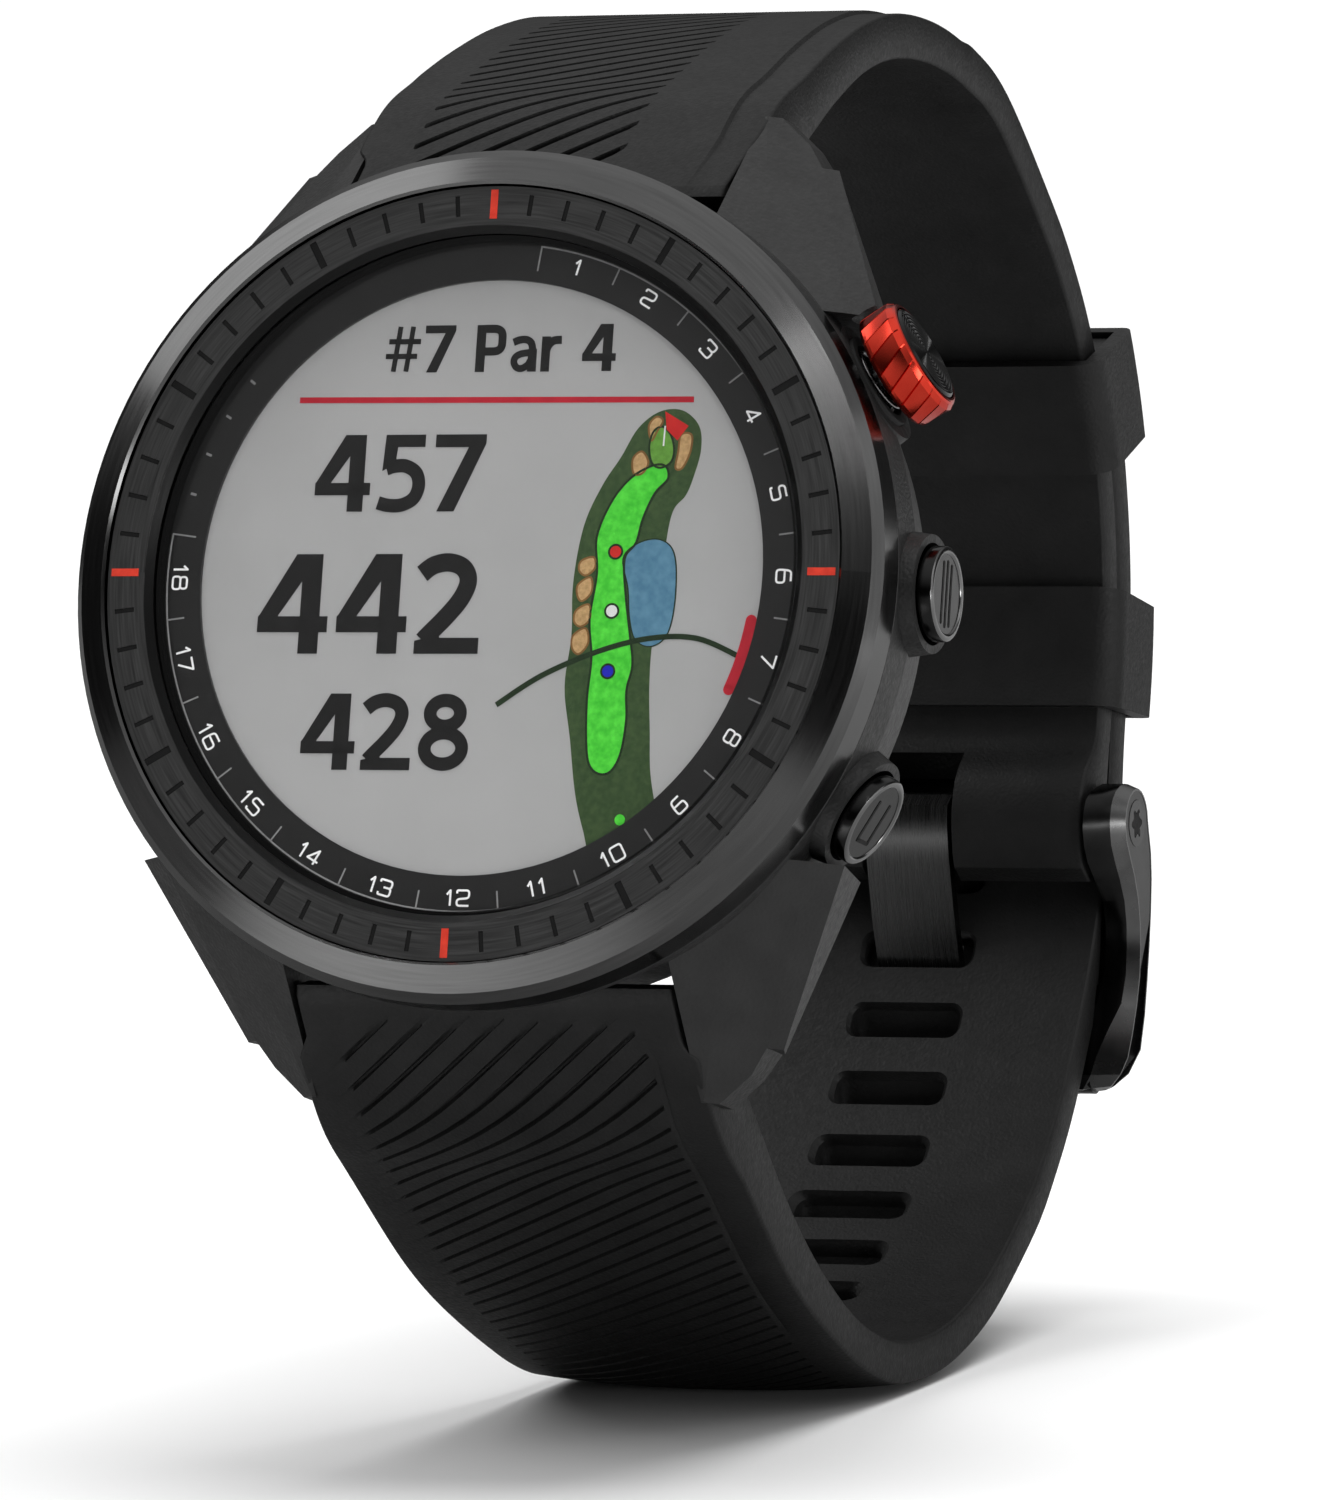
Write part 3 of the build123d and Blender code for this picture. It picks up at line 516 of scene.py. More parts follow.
def numeral(flat, text, radius, clock, flip, h=0.84, w=0.70, gap=0.22,
            pen=0.115):
    """text centred on a circle; clock is the angle from noon in degrees"""
    a = math.radians(clock)
    out = Vector((math.sin(a), math.cos(a)))
    up = -out if flip else out
    right = Vector((up.y, -up.x))
    widths = [w * 0.62 if ch == "1" else w for ch in text]
    total = sum(widths) + gap * (len(text) - 1)
    x0 = -total / 2
    for ch, cw in zip(text, widths):
        for line, closed in GLYPH[ch]:
            pts = [((px if ch != "1" else px * 1.1) * cw, (py - 0.5) * h)
                   for px, py in line]
            pts = rounded(pts, 0.17 if ch not in "147" else 0.02, 4, closed)
            pts = [out * radius + right * (x0 + px) + up * py
                   for px, py in pts]
            flat.stroke([(p.x, p.y) for p in pts], pen, closed)
        x0 += cw + gap


RING_LOW, RING_HIGH = -1.822, -1.806
NUM_R, ARC_R = 17.62, 18.36
numbers = Flat(RING_LOW, RING_HIGH)
START, STEP = 15.0, 15.0         # clock angles of hole 1 and between holes
for hole in range(1, 19):
    numeral(numbers, str(hole), NUM_R, START + STEP * (hole - 1),
            hole >= 10)
numbers.make("ring_numerals", M["ring_print"])

cells = Flat(RING_LOW, RING_HIGH)


def arc(r, c0, c1, steps):
    return [(r * math.sin(math.radians(c0 + (c1 - c0) * k / steps)),
             r * math.cos(math.radians(c0 + (c1 - c0) * k / steps)))
            for k in range(steps + 1)]


EDGE0, EDGE1 = START - STEP / 2, START + STEP * 17.5
cells.stroke(arc(ARC_R, EDGE0, EDGE1, 120), 0.09)
for k in range(19):
    c = START + STEP * (k - 0.5)
    inner = 17.0 if k in (0, 18) else 17.36
    cells.stroke([arc(inner, c, c + 1, 1)[0],
                  arc(ARC_R + 0.04, c, c + 1, 1)[0]], 0.09)
cells.make("ring_cells", M["ring_print_dim"])

dashes = Flat(RING_LOW, RING_HIGH)
for k in range(4):
    c = -75 + 7.5 * k
    dashes.stroke([arc(17.60, c, c + 1, 1)[0], arc(17.95, c, c + 1, 1)[0]],
                  0.14)
dashes.make("ring_dashes", M["ring_print_dim"])

# dark fill of the engraved minute marks
MINUTE_R = 20.3
fill = Flat(-0.115, -0.03)
for k in range(60):
    if k % 15:
        half, width = (0.565, 0.24) if k % 5 else (0.79, 0.40)
        fill.stroke([arc(MINUTE_R - half, 6 * k, 6 * k + 1, 1)[0],
                     arc(MINUTE_R + half, 6 * k, 6 * k + 1, 1)[0]], width)
fill.make("minute_fill", M["tick_fill"])


# ----------------------------------------------------------- screen image
def layer(n):
    return -2.105, -2.085 + 0.004 * n


def oval(cx, cy, rx, ry, steps=32):
    return [(cx + rx * math.cos(2 * math.pi * k / steps),
             cy + ry * math.sin(2 * math.pi * k / steps))
            for k in range(steps)]


# bold figures one unit high: width, filled areas, strokes (line, pen)
BOLD = {
    "4": (0.68, [[(0.41, 0), (0.60, 0), (0.60, 1), (0.41, 1)],
                 [(0.345, 1), (0.41, 1), (0.41, 0.73), (0.19, 0.375),
                  (0, 0.375), (0, 0.36)],
                 [(0, 0.215), (0.68, 0.215), (0.68, 0.375), (0, 0.375)]],
          []),
    "7": (0.62, [[(0, 1), (0.62, 1), (0.62, 0.88), (0.27, 0), (0.06, 0),
                  (0.41, 0.835), (0, 0.835)]], []),
    "5": (0.60, [[(0.075, 1), (0.56, 1), (0.56, 0.84), (0.225, 0.84),
                  (0.205, 0.62), (0.05, 0.53)]],
          [(curve_through([(0.10, 0.555), (0.20, 0.59), (0.34, 0.59),
                           (0.47, 0.50), (0.51, 0.335), (0.455, 0.17),
                           (0.31, 0.085), (0.15, 0.08), (0.02, 0.115)], 6),
            0.165)]),
    "2": (0.62, [[(0, 0), (0.62, 0), (0.62, 0.16), (0.24, 0.16),
                  (0.235, 0.19), (0, 0.13)]],
          [(curve_through([(0.035, 0.80), (0.14, 0.885), (0.29, 0.915),
                           (0.43, 0.86), (0.485, 0.73), (0.43, 0.56),
                           (0.30, 0.38), (0.13, 0.19), (0.08, 0.13)], 6),
            0.175)]),
    "8": (0.64, [], [(oval(0.32, 0.745, 0.19, 0.17), 0.165),
                     (oval(0.32, 0.285, 0.235, 0.205), 0.165)]),
    "#": (0.70, [], [([(0.17, 0.02), (0.27, 0.98)], 0.10),
                     ([(0.43, 0.02), (0.53, 0.98)], 0.10),
                     ([(0.0, 0.345), (0.64, 0.345)], 0.105),
                     ([(0.05, 0.66), (0.70, 0.66)], 0.105)]),
    "P": (0.62, [[(0, 0), (0.185, 0), (0.185, 1), (0, 1)]],
          [(rounded([(0.17, 0.918), (0.525, 0.918), (0.525, 0.435),
                     (0.17, 0.435)], 0.24, 7), 0.165)]),
    "a": (0.54, [[(0.36, 0), (0.535, 0), (0.535, 0.48), (0.36, 0.48)]],
          [(curve_through([(0.05, 0.625), (0.17, 0.675), (0.31, 0.68),
                           (0.41, 0.61), (0.447, 0.47)], 6), 0.15),
           (curve_through([(0.40, 0.405), (0.22, 0.38), (0.105, 0.31),
                           (0.08, 0.20), (0.14, 0.09), (0.25, 0.07),
                           (0.37, 0.15), (0.41, 0.24)], 6), 0.14)]),
    "r": (0.40, [[(0, 0), (0.175, 0), (0.175, 0.745), (0, 0.745)]],
          [(curve_through([(0.09, 0.42), (0.14, 0.56), (0.24, 0.655),
                           (0.40, 0.67)], 6), 0.165)]),
    " ": (0.26, [], []),
}


def words(name, text, x0, x1, y0, y1, gap=0.09):
    """bold figures fitted to a box on the screen"""
    total = sum(BOLD[ch][0] for ch in text) + gap * (len(text) - 1)
    sx, sy = (x1 - x0) / total, y1 - y0
    flat = Flat(*layer(6))
    at = 0.0
    for ch in text:
        width, areas, strokes = BOLD[ch]
        for pts in areas:
            flat.area([(x0 + (at + px) * sx, y0 + py * sy)
                       for px, py in pts])
        for pts, pen in strokes:
            closed = ch == "8"
            flat.stroke([(x0 + (at + px) * sx, y0 + py * sy)
                         for px, py in pts], pen * (sx + sy) / 2, closed)
        at += width + gap
    flat.make(name, M["screen_ink"])


for tag, text, box in (
        ("hole", "#7 Par 4", (-6.45, 7.0, 11.35, 13.95)),
        ("back", "457", (-10.1, -0.2, 3.65, 7.9)),
        ("middle", "442", (-12.95, 0.1, -4.2, 1.3)),
        ("front", "428", (-9.9, -0.05, -10.6, -6.4))):
    words("screen_" + tag, text, *box)

SCREEN_R = 16.38


def inside(points):
    """keep a shape on the round screen"""
    out = []
    for x, y in points:
        d = math.hypot(x, y)
        out.append((x, y) if d <= SCREEN_R
                   else (x * SCREEN_R / d, y * SCREEN_R / d))
    return out


def screen_part(name, paint, level, build):
    flat = Flat(*layer(level))
    build(flat)
    flat.make(name, M[paint])


screen_part("screen_rule", "screen_red", 4,
            lambda s: s.stroke([(-11.35, 9.85), (11.7, 9.75)], 0.32))

rough_edge = curve_through([
    (7.4, -15.2), (6.4, -12.2), (5.8, -8.8), (5.3, -6.0), (5.5, -3.2),
    (5.4, -0.3), (5.8, 2.8), (6.7, 5.0), (7.7, 6.6), (8.6, 8.2), (9.8, 9.1),
    (11.1, 9.15), (12.1, 8.3), (12.3, 7.0), (12.0, 5.6), (11.6, 4.5),
    (10.9, 3.6), (10.6, 1.6), (10.5, -1.2), (10.2, -3.6), (10.2, -6.0),
    (10.4, -8.5), (10.6, -10.8), (11.2, -13.3)], 6) + [(9.4, -14.9)]
screen_part("map_rough", "map_rough", 0,
            lambda s: s.area(inside(rough_edge)))
fairway_edge = curve_through([
    (6.5, -2.3), (6.75, 0.2), (6.6, 2.2), (7.3, 4.1), (8.3, 5.4),
    (9.5, 6.1), (10.3, 6.1), (10.5, 5.4), (9.8, 4.6), (9.2, 3.2),
    (8.9, 1.9), (8.3, 1.0), (8.5, -1.0), (8.9, -3.2), (9.15, -4.8),
    (8.9, -6.2), (9.0, -7.8), (8.8, -9.6), (8.3, -10.6), (7.6, -10.75),
    (7.0, -10.2), (6.75, -8.8), (6.65, -6.6), (6.75, -4.4)], 6, True)
green_edge = curve_through([
    (9.3, 7.2), (9.5, 8.0), (10.0, 8.25), (10.5, 7.8), (10.75, 7.0),
    (10.6, 6.3), (10.0, 6.0), (9.5, 6.3)], 6, True)
pond_edge = curve_through([
    (8.2, 1.0), (8.9, 1.8), (10.0, 2.1), (10.9, 1.7), (11.3, 0.6),
    (11.35, -1.6), (11.0, -3.2), (10.1, -3.8), (9.2, -3.4), (8.8, -2.2),
    (8.6, -0.6)], 6, True)
SAND = [
    [(9.2, 8.3), (9.6, 8.8), (10.0, 8.6), (9.7, 8.0), (9.4, 7.5)],
    [(11.1, 7.8), (11.7, 7.8), (11.7, 6.9), (11.3, 6.0), (10.9, 6.0),
     (11.0, 6.9)],
    [(8.4, 6.5), (8.9, 6.9), (9.3, 6.3), (9.0, 5.7), (8.5, 5.7)],
    [(5.8, 0.9), (6.5, 1.1), (6.6, 0.5), (6.1, 0.1), (5.7, 0.4)],
    [(5.7, -0.4), (6.4, 0.0), (6.5, -0.8), (6.0, -1.3), (5.7, -1.0)],
    [(5.7, -1.8), (6.4, -1.5), (6.5, -2.3), (6.0, -2.7), (5.6, -2.4)],
    [(5.6, -3.2), (6.3, -2.8), (6.5, -3.6), (6.0, -4.2), (5.6, -3.9)],
]
screen_part("map_water", "map_water", 1, lambda s: s.area(pond_edge))
screen_part("map_fairway", "map_fairway", 2, lambda s: s.area(fairway_edge))
screen_part("map_green", "map_green", 3, lambda s: s.area(green_edge))


def outlines(s):
    for line, w in ((fairway_edge, 0.13), (green_edge, 0.12)):
        s.stroke(line, w, True)
    s.stroke(pond_edge, 0.07, True)


def sand_fill(s):
    for spot_ in SAND:
        s.area(curve_through(spot_, 6, True))


def sand_rim(s):
    for spot_ in SAND:
        s.stroke(curve_through(spot_, 6, True), 0.11, True)


screen_part("map_outlines", "map_rim", 4, outlines)
screen_part("map_sand", "map_sand", 3, sand_fill)
screen_part("map_sand_rim", "map_earth", 4, sand_rim)
screen_part("map_flag", "map_red", 6, lambda s: s.area(
    [(10.1, 9.1), (11.5, 8.3), (10.9, 7.5), (10.25, 8.1)]))
screen_part("map_pole", "map_white", 5, lambda s: s.stroke(
    [(10.15, 8.3), (10.12, 7.2)], 0.09))


def markers(s):
    for y in (1.4, -1.85, -5.15):
        s.disc(7.75, y, 0.44)


screen_part("map_marker_rims", "map_rim", 5, markers)
for tag, y in (("red", 1.4), ("white", -1.85), ("blue", -5.15)):
    screen_part("map_marker_" + tag, "map_" + tag, 7,
                lambda s, y=y: s.disc(7.75, y, 0.32))


def trees(s):
    for x, y in ((9.0, -13.25), (9.5, -13.95)):
        s.disc(x, y, 0.30)


screen_part("map_trees", "map_fairway", 3, trees)
screen_part("distance_arc", "map_rim", 5, lambda s: s.stroke(
    curve_through([(1.4, -7.0), (3.9, -5.4), (7.0, -4.1), (10.0, -3.35),
                   (12.8, -3.35), (15.4, -4.4)], 8), 0.30))


def range_mark(s):
    mid = arc(16.0, 98.5, 112.5, 14)
    s.stroke(mid, 0.62)
    for p in (mid[0], mid[-1]):
        s.disc(p[0], p[1], 0.31, 20)


screen_part("range_mark", "screen_red", 7, range_mark)


# ------------------------------------------------------------------ straps
def walls(middle, thick, turn):
    """lines half the thickness outside and inside a middle line"""
    out, inn = [], []
    for i, p in enumerate(middle):
        a = middle[max(i - 1, 0)]
        b = middle[min(i + 1, len(middle) - 1)]
        t = Vector((b[0] - a[0], b[1] - a[1])).normalized()
        n = Vector((-t.y, t.x)) * (turn * thick[i] / 2)
        out.append((p[0] - n.x, p[1] - n.y))
        inn.append((p[0] + n.x, p[1] + n.y))
    return out, inn


class Band:
    """a bent band: outer and inner line by length along the middle"""

    def __init__(self, outer, inner, steps=24):
        self.o = curve_through(outer, steps)
        self.i = curve_through(inner, steps)
        self.at = [0.0]
        for k in range(1, len(self.o)):
            a = [(self.o[k][j] + self.i[k][j]) / 2 for j in (0, 1)]
            b = [(self.o[k - 1][j] + self.i[k - 1][j]) / 2 for j in (0, 1)]
            self.at.append(self.at[-1] + math.dist(a, b))
        self.length = self.at[-1]

    def point(self, u):
        """outer point, inner point and outward direction at length u"""
        u = min(max(u, 0.0), self.length)
        lo, hi = 0, len(self.at) - 1
        while hi - lo > 1:
            m = (lo + hi) // 2
            lo, hi = (m, hi) if self.at[m] <= u else (lo, m)
        t = (u - self.at[lo]) / max(self.at[hi] - self.at[lo], 1e-9)
        o = Vector(self.o[lo]).lerp(Vector(self.o[hi]), t)
        i = Vector(self.i[lo]).lerp(Vector(self.i[hi]), t)
        return o, i, (o - i).normalized()

    def length_at(self, y, z):
        """length along the band nearest a side-view point"""
        best = min(range(len(self.at)), key=lambda k: math.dist(
            [(self.o[k][j] + self.i[k][j]) / 2 for j in (0, 1)], (y, z)))
        return self.at[best]


def shear_line(w, x, first, top, k, flare, reach):
    """length u at x of the diagonal groove that starts at (first, w)"""
    u, here = w, first
    step = 0.25 if x >= first else -0.25
    while abs(x - here) > 1e-6:
        d = step if abs(x - here) > abs(step) else x - here
        u -= d * (k + flare * math.exp(-max(u - top, 0) / reach))
        here += d
    return max(u, top)


def strap(name, band, half, rows, columns, depth, mat, edge, crown):
    """closed skin of a band; rows give u for every x"""
    verts = []
    corner = ((0.30, 0.10), (0.70, 0.42), (1.0, 1.0))
    cols = [("o", c) for c in columns]              # outer face
    cols += [("e", *c) for c in corner] + [("f", *c) for c in corner[::-1]]
    cols += [("i", c) for c in reversed(columns[::4])]
    cols += [("g", *c) for c in corner] + [("h", *c) for c in corner[::-1]]
    n = len(cols)
    for row in rows:
        for col in cols:
            sign = 1 if col[0] in "ef" else -1
            u = row(0.0)
            for _ in range(4):
                wide = half(u) - edge
                x = (col[1] * wide if col[0] in "oi"
                     else sign * (wide + edge * col[1]))
                u = row(x)
            o, i, nrm = band.point(u)
            if col[0] == "o":
                p = o - nrm * depth(x, u)
            elif col[0] == "i":
                p = i
            elif col[0] in "eh":
                p = o - nrm * (edge * col[2] + crown(x, u))
            else:
                p = i + nrm * (edge * col[2])
            v = spot(x, p.x, p.y)
            v.z = min(max(v.z, 0.0), cad_high[2])
            verts.append(v)
    faces = sides(n, len(rows)) + ends(n, len(rows))
    return piece(name, verts, faces, mat, body=None, smooth=False,
                 clean=2e-7)


def cutter(outline, basis, levels):
    """prism along basis z; levels are (z, growth, squash and shift of y)"""
    origin, ux, uy, uz = basis
    verts = []
    n = len(outline)
    cx = sum(p[0] for p in outline) / n
    cy = sum(p[1] for p in outline) / n
    for z, grow, *more in levels:
        squash, shift = more or (1.0, 0.0)
        for x, y in outline:
            d = math.hypot(x - cx, y - cy) or 1.0
            q = (x + (x - cx) / d * grow,
                 y * squash + (y - cy) / d * grow + shift)
            verts.append(origin + (ux * q[0] + uy * q[1] + uz * z) * MM)
    faces = sides(n, len(levels)) + ends(n, len(levels))
    return piece("cutter", verts, faces, M["chip_black"], body=None,
                 smooth=False)


def cut(ob, tools):
    """take the tools away from a mesh"""
    bm = bmesh.new()
    for t in tools:
        bm.from_mesh(t.data)
    joined = bpy.data.meshes.new("tools")
    bm.to_mesh(joined)
    bm.free()
    tool = bpy.data.objects.new("tools", joined)
    bpy.context.scene.collection.objects.link(tool)
    mod = ob.modifiers.new("cut", "BOOLEAN")
    mod.operation, mod.solver, mod.object = "DIFFERENCE", "EXACT", tool
    mod.use_self = True
    bpy.context.view_layer.update()
    dg = bpy.context.evaluated_depsgraph_get()
    me = bpy.data.meshes.new_from_object(ob.evaluated_get(dg))
    ob.modifiers.clear()
    ob.data = me
    for t in (*tools, tool):
        bpy.data.objects.remove(t)


def box_cut(plane, x0, x1, y0, y1, z0, z1):
    return cutter([(x0, y0), (x1, y0), (x1, y1), (x0, y1)], plane,
                  ((z0, 0.0), (z1, 0.0)))


def round_cut(y, z, r, half):
    o = spot(0, y, z)
    ring = [(r * math.cos(a * math.pi / 16), r * math.sin(a * math.pi / 16))
            for a in range(32)]
    axes = (Vector((0, 1, 0)), Vector((0, 0, 1)), Vector((1, 0, 0)))
    return cutter(ring, (o, *axes), ((-half, 0.0), (half, 0.0)))


def pill(w, h, r, steps=6):
    pts = []
    for cx, cy, a0 in ((w / 2 - r, h / 2 - r, 0), (r - w / 2, h / 2 - r, 90),
                       (r - w / 2, r - h / 2, 180), (w / 2 - r, r - h / 2,
                                                     270)):
        for k in range(steps + 1):
            a = math.radians(a0 + 90 * k / steps)
            pts.append((cx + r * math.cos(a), cy + r * math.sin(a)))
    return pts


BAR_Y, BAR_Z = 23.6, -9.6
PIN = (70.4, -20.6)
BAR_R, PIN_R, PAST_EDGE = 1.0, 0.8, 13
LUG_HALF, WIDE_HALF, TAPER_HALF = 11.0, 11.75, 11.0
EDGE = 0.2                      # rounding of the strap edges
HALF = WIDE_HALF - EDGE


def latch_plane(bar, toward, sy):
    """plane through a spring bar, square to the band"""
    d = Vector((toward[0] - bar[0], toward[1] - bar[1])).normalized()
    uz = Vector((0, sy * d.y, -sy * d.x))
    ux = Vector((1, 0, 0))
    return spot(0, *bar), ux, uz.cross(ux), uz


def pocket(plane, way):
    """recess for the quick-release slide"""
    tools = []
    for w, a, b, lo, hi in ((4.4, 2.3, 8.1, 0.95, 1.7),
                            (3.4, 2.6, 7.8, 1.6, 5.0)):
        tools.append(box_cut(plane, -w, w, min(way * a, way * b),
                             max(way * a, way * b), lo, hi))
    return tools


LONG_MID = [
    (5.8, -28.9), (10.0, -33.2), (15.3, -38.1), (20.7, -42.15),
    (26.8, -45.6), (32.85, -47.75), (38.5, -48.3), (44.15, -47.8),
    (50.35, -46.0), (57.05, -42.5), (60.6, -39.7), (63.97, -36.47),
    (67.1, -32.7), (69.9, -28.7), bend(31.3, -34), bend(29.6, -22),
    bend(29.45, -10), bend(29.45, 0), bend(29.45, 10), bend(29.45, 18),
    bend(29.45, 25)]
LONG_T = [4.6, 3.8, 3.3, 3.1, 3.0, 3.0, 3.0, 3.0, 3.0, 2.8, 2.6,
          2.45] + [2.4] * 9
SHORT_MID = [
    (18.6, 22.2), (23.2, 24.1), (28.4, 25.7), (34.0, 26.9), (40.0, 27.3),
    (46.2, 26.6), (52.0, 24.9), (57.4, 22.2), bend(27.1, 50),
    bend(26.9, 40), bend(26.9, 30), bend(26.9, 20), bend(26.9, 10),
    bend(26.9, 0), bend(26.9, -10), bend(26.9, -20), bend(27.25, -27), PIN]
SHORT_T = [4.4, 3.6, 3.2, 2.9, 2.8, 2.7, 2.6, 2.5] + [2.4] * 10


def with_root(mid, thick, turn, s):
    """band lines with the thick end between the lugs"""
    out, inn = walls(mid, thick, turn)
    out = [side(s * 21.32, -7.4), side(s * 21.7, -6.3), side(s * 22.6, -6.1)
           ] + out
    inn = [side(s * 21.32, -10.9), side(s * 21.8, -11.9),
           side(s * 22.9, -12.2)] + inn
    if s > 0:                            # thick eye round the pin
        out[-1:] = [(71.93, -20.4), (71.45, -21.7), (71.0, -22.7),
                    (70.3, -23.55), (69.75, -23.9)]
        inn[-2:] = [(70.55, -15.9), (68.35, -17.6), (67.4, -19.6),
                    (67.33, -21.4), (67.6, -23.0), (68.75, -23.93)]
    return Band(out, inn)


def spaced(a, b, step):
    n = max(1, round((b - a) / step))
    return [a + (b - a) * k / n for k in range(n + 1)]


def groove_rows(first, top, end, pitch, k, flare, reach, mirror, wide,
                relax, total):
    """rows of the mesh: flat at the lug, then along the grooves, then flat"""
    s = -1 if mirror else 1
    rows = [(lambda x, u=u: u) for u in
            (0.0, 0.35, 0.8, 1.4, 2.0, 2.7) if u < top] + [
                lambda x: top]
    offsets = (-0.5 * pitch, -0.25 * pitch, -wide, -wide * 0.35,
               wide * 0.35, wide, 0.25 * pitch)
    table = {}

    def line(w, x):
        key = (round(w, 5), round(x, 4))
        if key not in table:
            table[key] = shear_line(w, s * x, first, top, k, flare, reach)
        return table[key]

    w = top + 0.4 * pitch
    while w < end:
        for off in offsets:
            rows.append(lambda x, v=w + off: line(v, x))
        w += pitch
    stop = w - 0.5 * pitch
    for v in spaced(stop, total, 0.7):
        t = ease((v - stop) / relax)
        if t < 1:
            rows.append(lambda x, v=v, t=t: v + (line(v, x) - v) * (1 - t))
        else:
            rows.append(lambda x, v=v: v)
    rows.append(lambda x: total)
    return rows


def groove_depth(first, last, top, end, pitch, k, flare, reach, mirror,
                 wide, deep, half, extra):
    """depth of the outer face under its band line, grooves included"""
    s = -1 if mirror else 1
    table = {}

    def start_of(x, u):
        """w of the groove line through (x, u)"""
        key = (round(x, 3), round(u, 3))
        if key not in table:
            here, v = s * x, u
            step = -0.25 if here > first else 0.25
            while abs(first - here) > 1e-6:
                d = step if abs(first - here) > abs(step) else first - here
                v -= d * (k + flare * math.exp(-max(v - top, 0) / reach))
                here += d
            table[key] = v
        return table[key]

    def depth(x, u):
        base = extra(x, u)
        xx = s * x
        near = xx * HALF / (half(u) - EDGE)
        if near < first - 0.5 or near > last + 0.12 or u <= top + 0.05:
            return base
        w = start_of(x, u)
        if w > end:
            return base
        n = (w - top - 0.4 * pitch) / pitch
        off = abs(n - round(n)) * pitch
        if off > wide * 0.99:
            return base
        fade = ease((near - first + 0.5) / 0.5) * ease(
            (last + 0.12 - near) / 0.12)
        fade *= ease((u - top - 0.1) / 1.1) * ease((end - w) / 1.0)
        cut_to = deep if off < wide * 0.6 else 0.0
        return base + cut_to * fade
    return depth


def columns_for(half, marks, between):
    """column fractions that include the given x positions"""
    xs = {round(-half + 2 * half * k / between, 3)
          for k in range(between + 1)}
    for m in marks:
        xs = {x for x in xs if abs(x - m) > 0.3 or abs(abs(x) - half) < 1e-6}
    xs |= set(marks)
    return [x / half for x in sorted(xs)]


def width_by(u0, u1, w0, w1, base):
    """half width of a band: narrow in the lugs, then w0 tapering to w1"""
    def half(u):
        if u < base:
            return LUG_HALF
        if u < base + 1.0:
            return LUG_HALF + (w0 - LUG_HALF) * ease(u - base)
        return w0 + (w1 - w0) * min(max((u - u0) / (u1 - u0), 0), 1)
    return half


# long strap
band = with_root(LONG_MID, LONG_T, 1, -1)
LOW_END = band.length_at(44.0, -47.3)
half_long = width_by(band.length_at(9.5, -33), band.length_at(27.0, -45.2),
                     WIDE_HALF, TAPER_HALF, band.length_at(2.6, -26.3))
G = dict(first=-8.8, top=2.1, end=LOW_END + 4, pitch=1.29, k=0.62,
         flare=-0.10, reach=4.0)
rows = groove_rows(mirror=False, wide=0.15, relax=30.0, total=band.length,
                   **G)
SAG0, SAG1 = band.length_at(15.3, -38.1), band.length_at(26.8, -45.6)
SAG2, SAG3 = band.length_at(50.3, -46.0), band.length_at(64.0, -36.5)


def sag(x, u):
    """the outer face is crowned where the strap is thickest"""
    much = ease((u - SAG0) / (SAG1 - SAG0)) * ease((SAG3 - u)
                                                   / (SAG3 - SAG2))
    return 0.6 * much * (abs(x) / TAPER_HALF) ** 2.4


def line_end(x, u):
    """fine step along the right ends of the grooves, high up"""
    x *= HALF / (half_long(u) - EDGE)
    return 0.10 * ease((x - 9.16) / 0.1) * ease((9.5 - x) / 0.12) * ease(
        (SAG1 - 4 - u) / 3) * ease((u - 3.2) / 1.0)


cols = columns_for(HALF, [-9.3, -9.05, -8.8, 8.78, 8.9, 9.02, 9.2, 9.32,
                          9.48], 22)
deep = groove_depth(last=8.9, mirror=False, wide=0.15, deep=0.30,
                    half=half_long,
                    extra=lambda x, u: sag(x, u) + line_end(x, u), **G)
long_strap = strap("strap_long_skin", band, half_long, rows, cols, deep,
                   M["strap_silicone"], EDGE, sag)
LOW_BAR, TOP_BAR = side(-BAR_Y, BAR_Z), side(BAR_Y, BAR_Z)
tools = [round_cut(*LOW_BAR, BAR_R, PAST_EDGE)]
tools += pocket(latch_plane(LOW_BAR, LONG_MID[1], -1), 1)
SLOT_PITCH = 4.95
SLOT_SIZE = (6.8, 2.25, 0.8)    # width, height, corner radius
IN_USE = band.length_at(69.9, -28.7) + 0.05
tight = (0.48, -0.5)
wrist_side = ((0.4, 0.0), (0.95, 0.0), (1.2, 0.22), (3.0, 2.1))
far_side = ((-3.0, 1.6, *tight), (-1.2, 0.12, *tight), (-1.0, 0.0, *tight))
slot = pill(*SLOT_SIZE)
for k in range(-4, 7):          # 0 is the slot in use, below it k > 0
    at = IN_USE - k * SLOT_PITCH
    o, i, nrm = band.point(at)
    a, b, _ = band.point(at + 0.3)
    run = ((a + b) - (o + i)).normalized()
    nrm = Vector((-run.y, run.x))
    mid = (o + i) / 2
    plane = (spot(0, *mid), Vector((1, 0, 0)), Vector((0, run.x, run.y)),
             Vector((0, nrm.x, nrm.y)))
    if k > 0:
        tools.append(cutter(slot, plane, far_side + wrist_side))
    elif k == 0:                         # filled by the tongue
        tools.append(cutter(slot, plane, ((-0.1, 0.0),) + wrist_side))
        tools.append(box_cut(plane, -2.35, 2.35, -0.8, 0.8, -3, 0.2))
    else:
        tools.append(cutter(slot, plane, ((0.1, 0.0),) + wrist_side))
        tools.append(cutter(slot, plane, ((-3.0, 1.6), (-1.2, 0.12),
                                          (-1.0, 0.0), (-0.3, 0.0))))
cut(long_strap, tools)
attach(long_strap, ROOT)
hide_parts("strap_long")
soften(long_strap, 32)

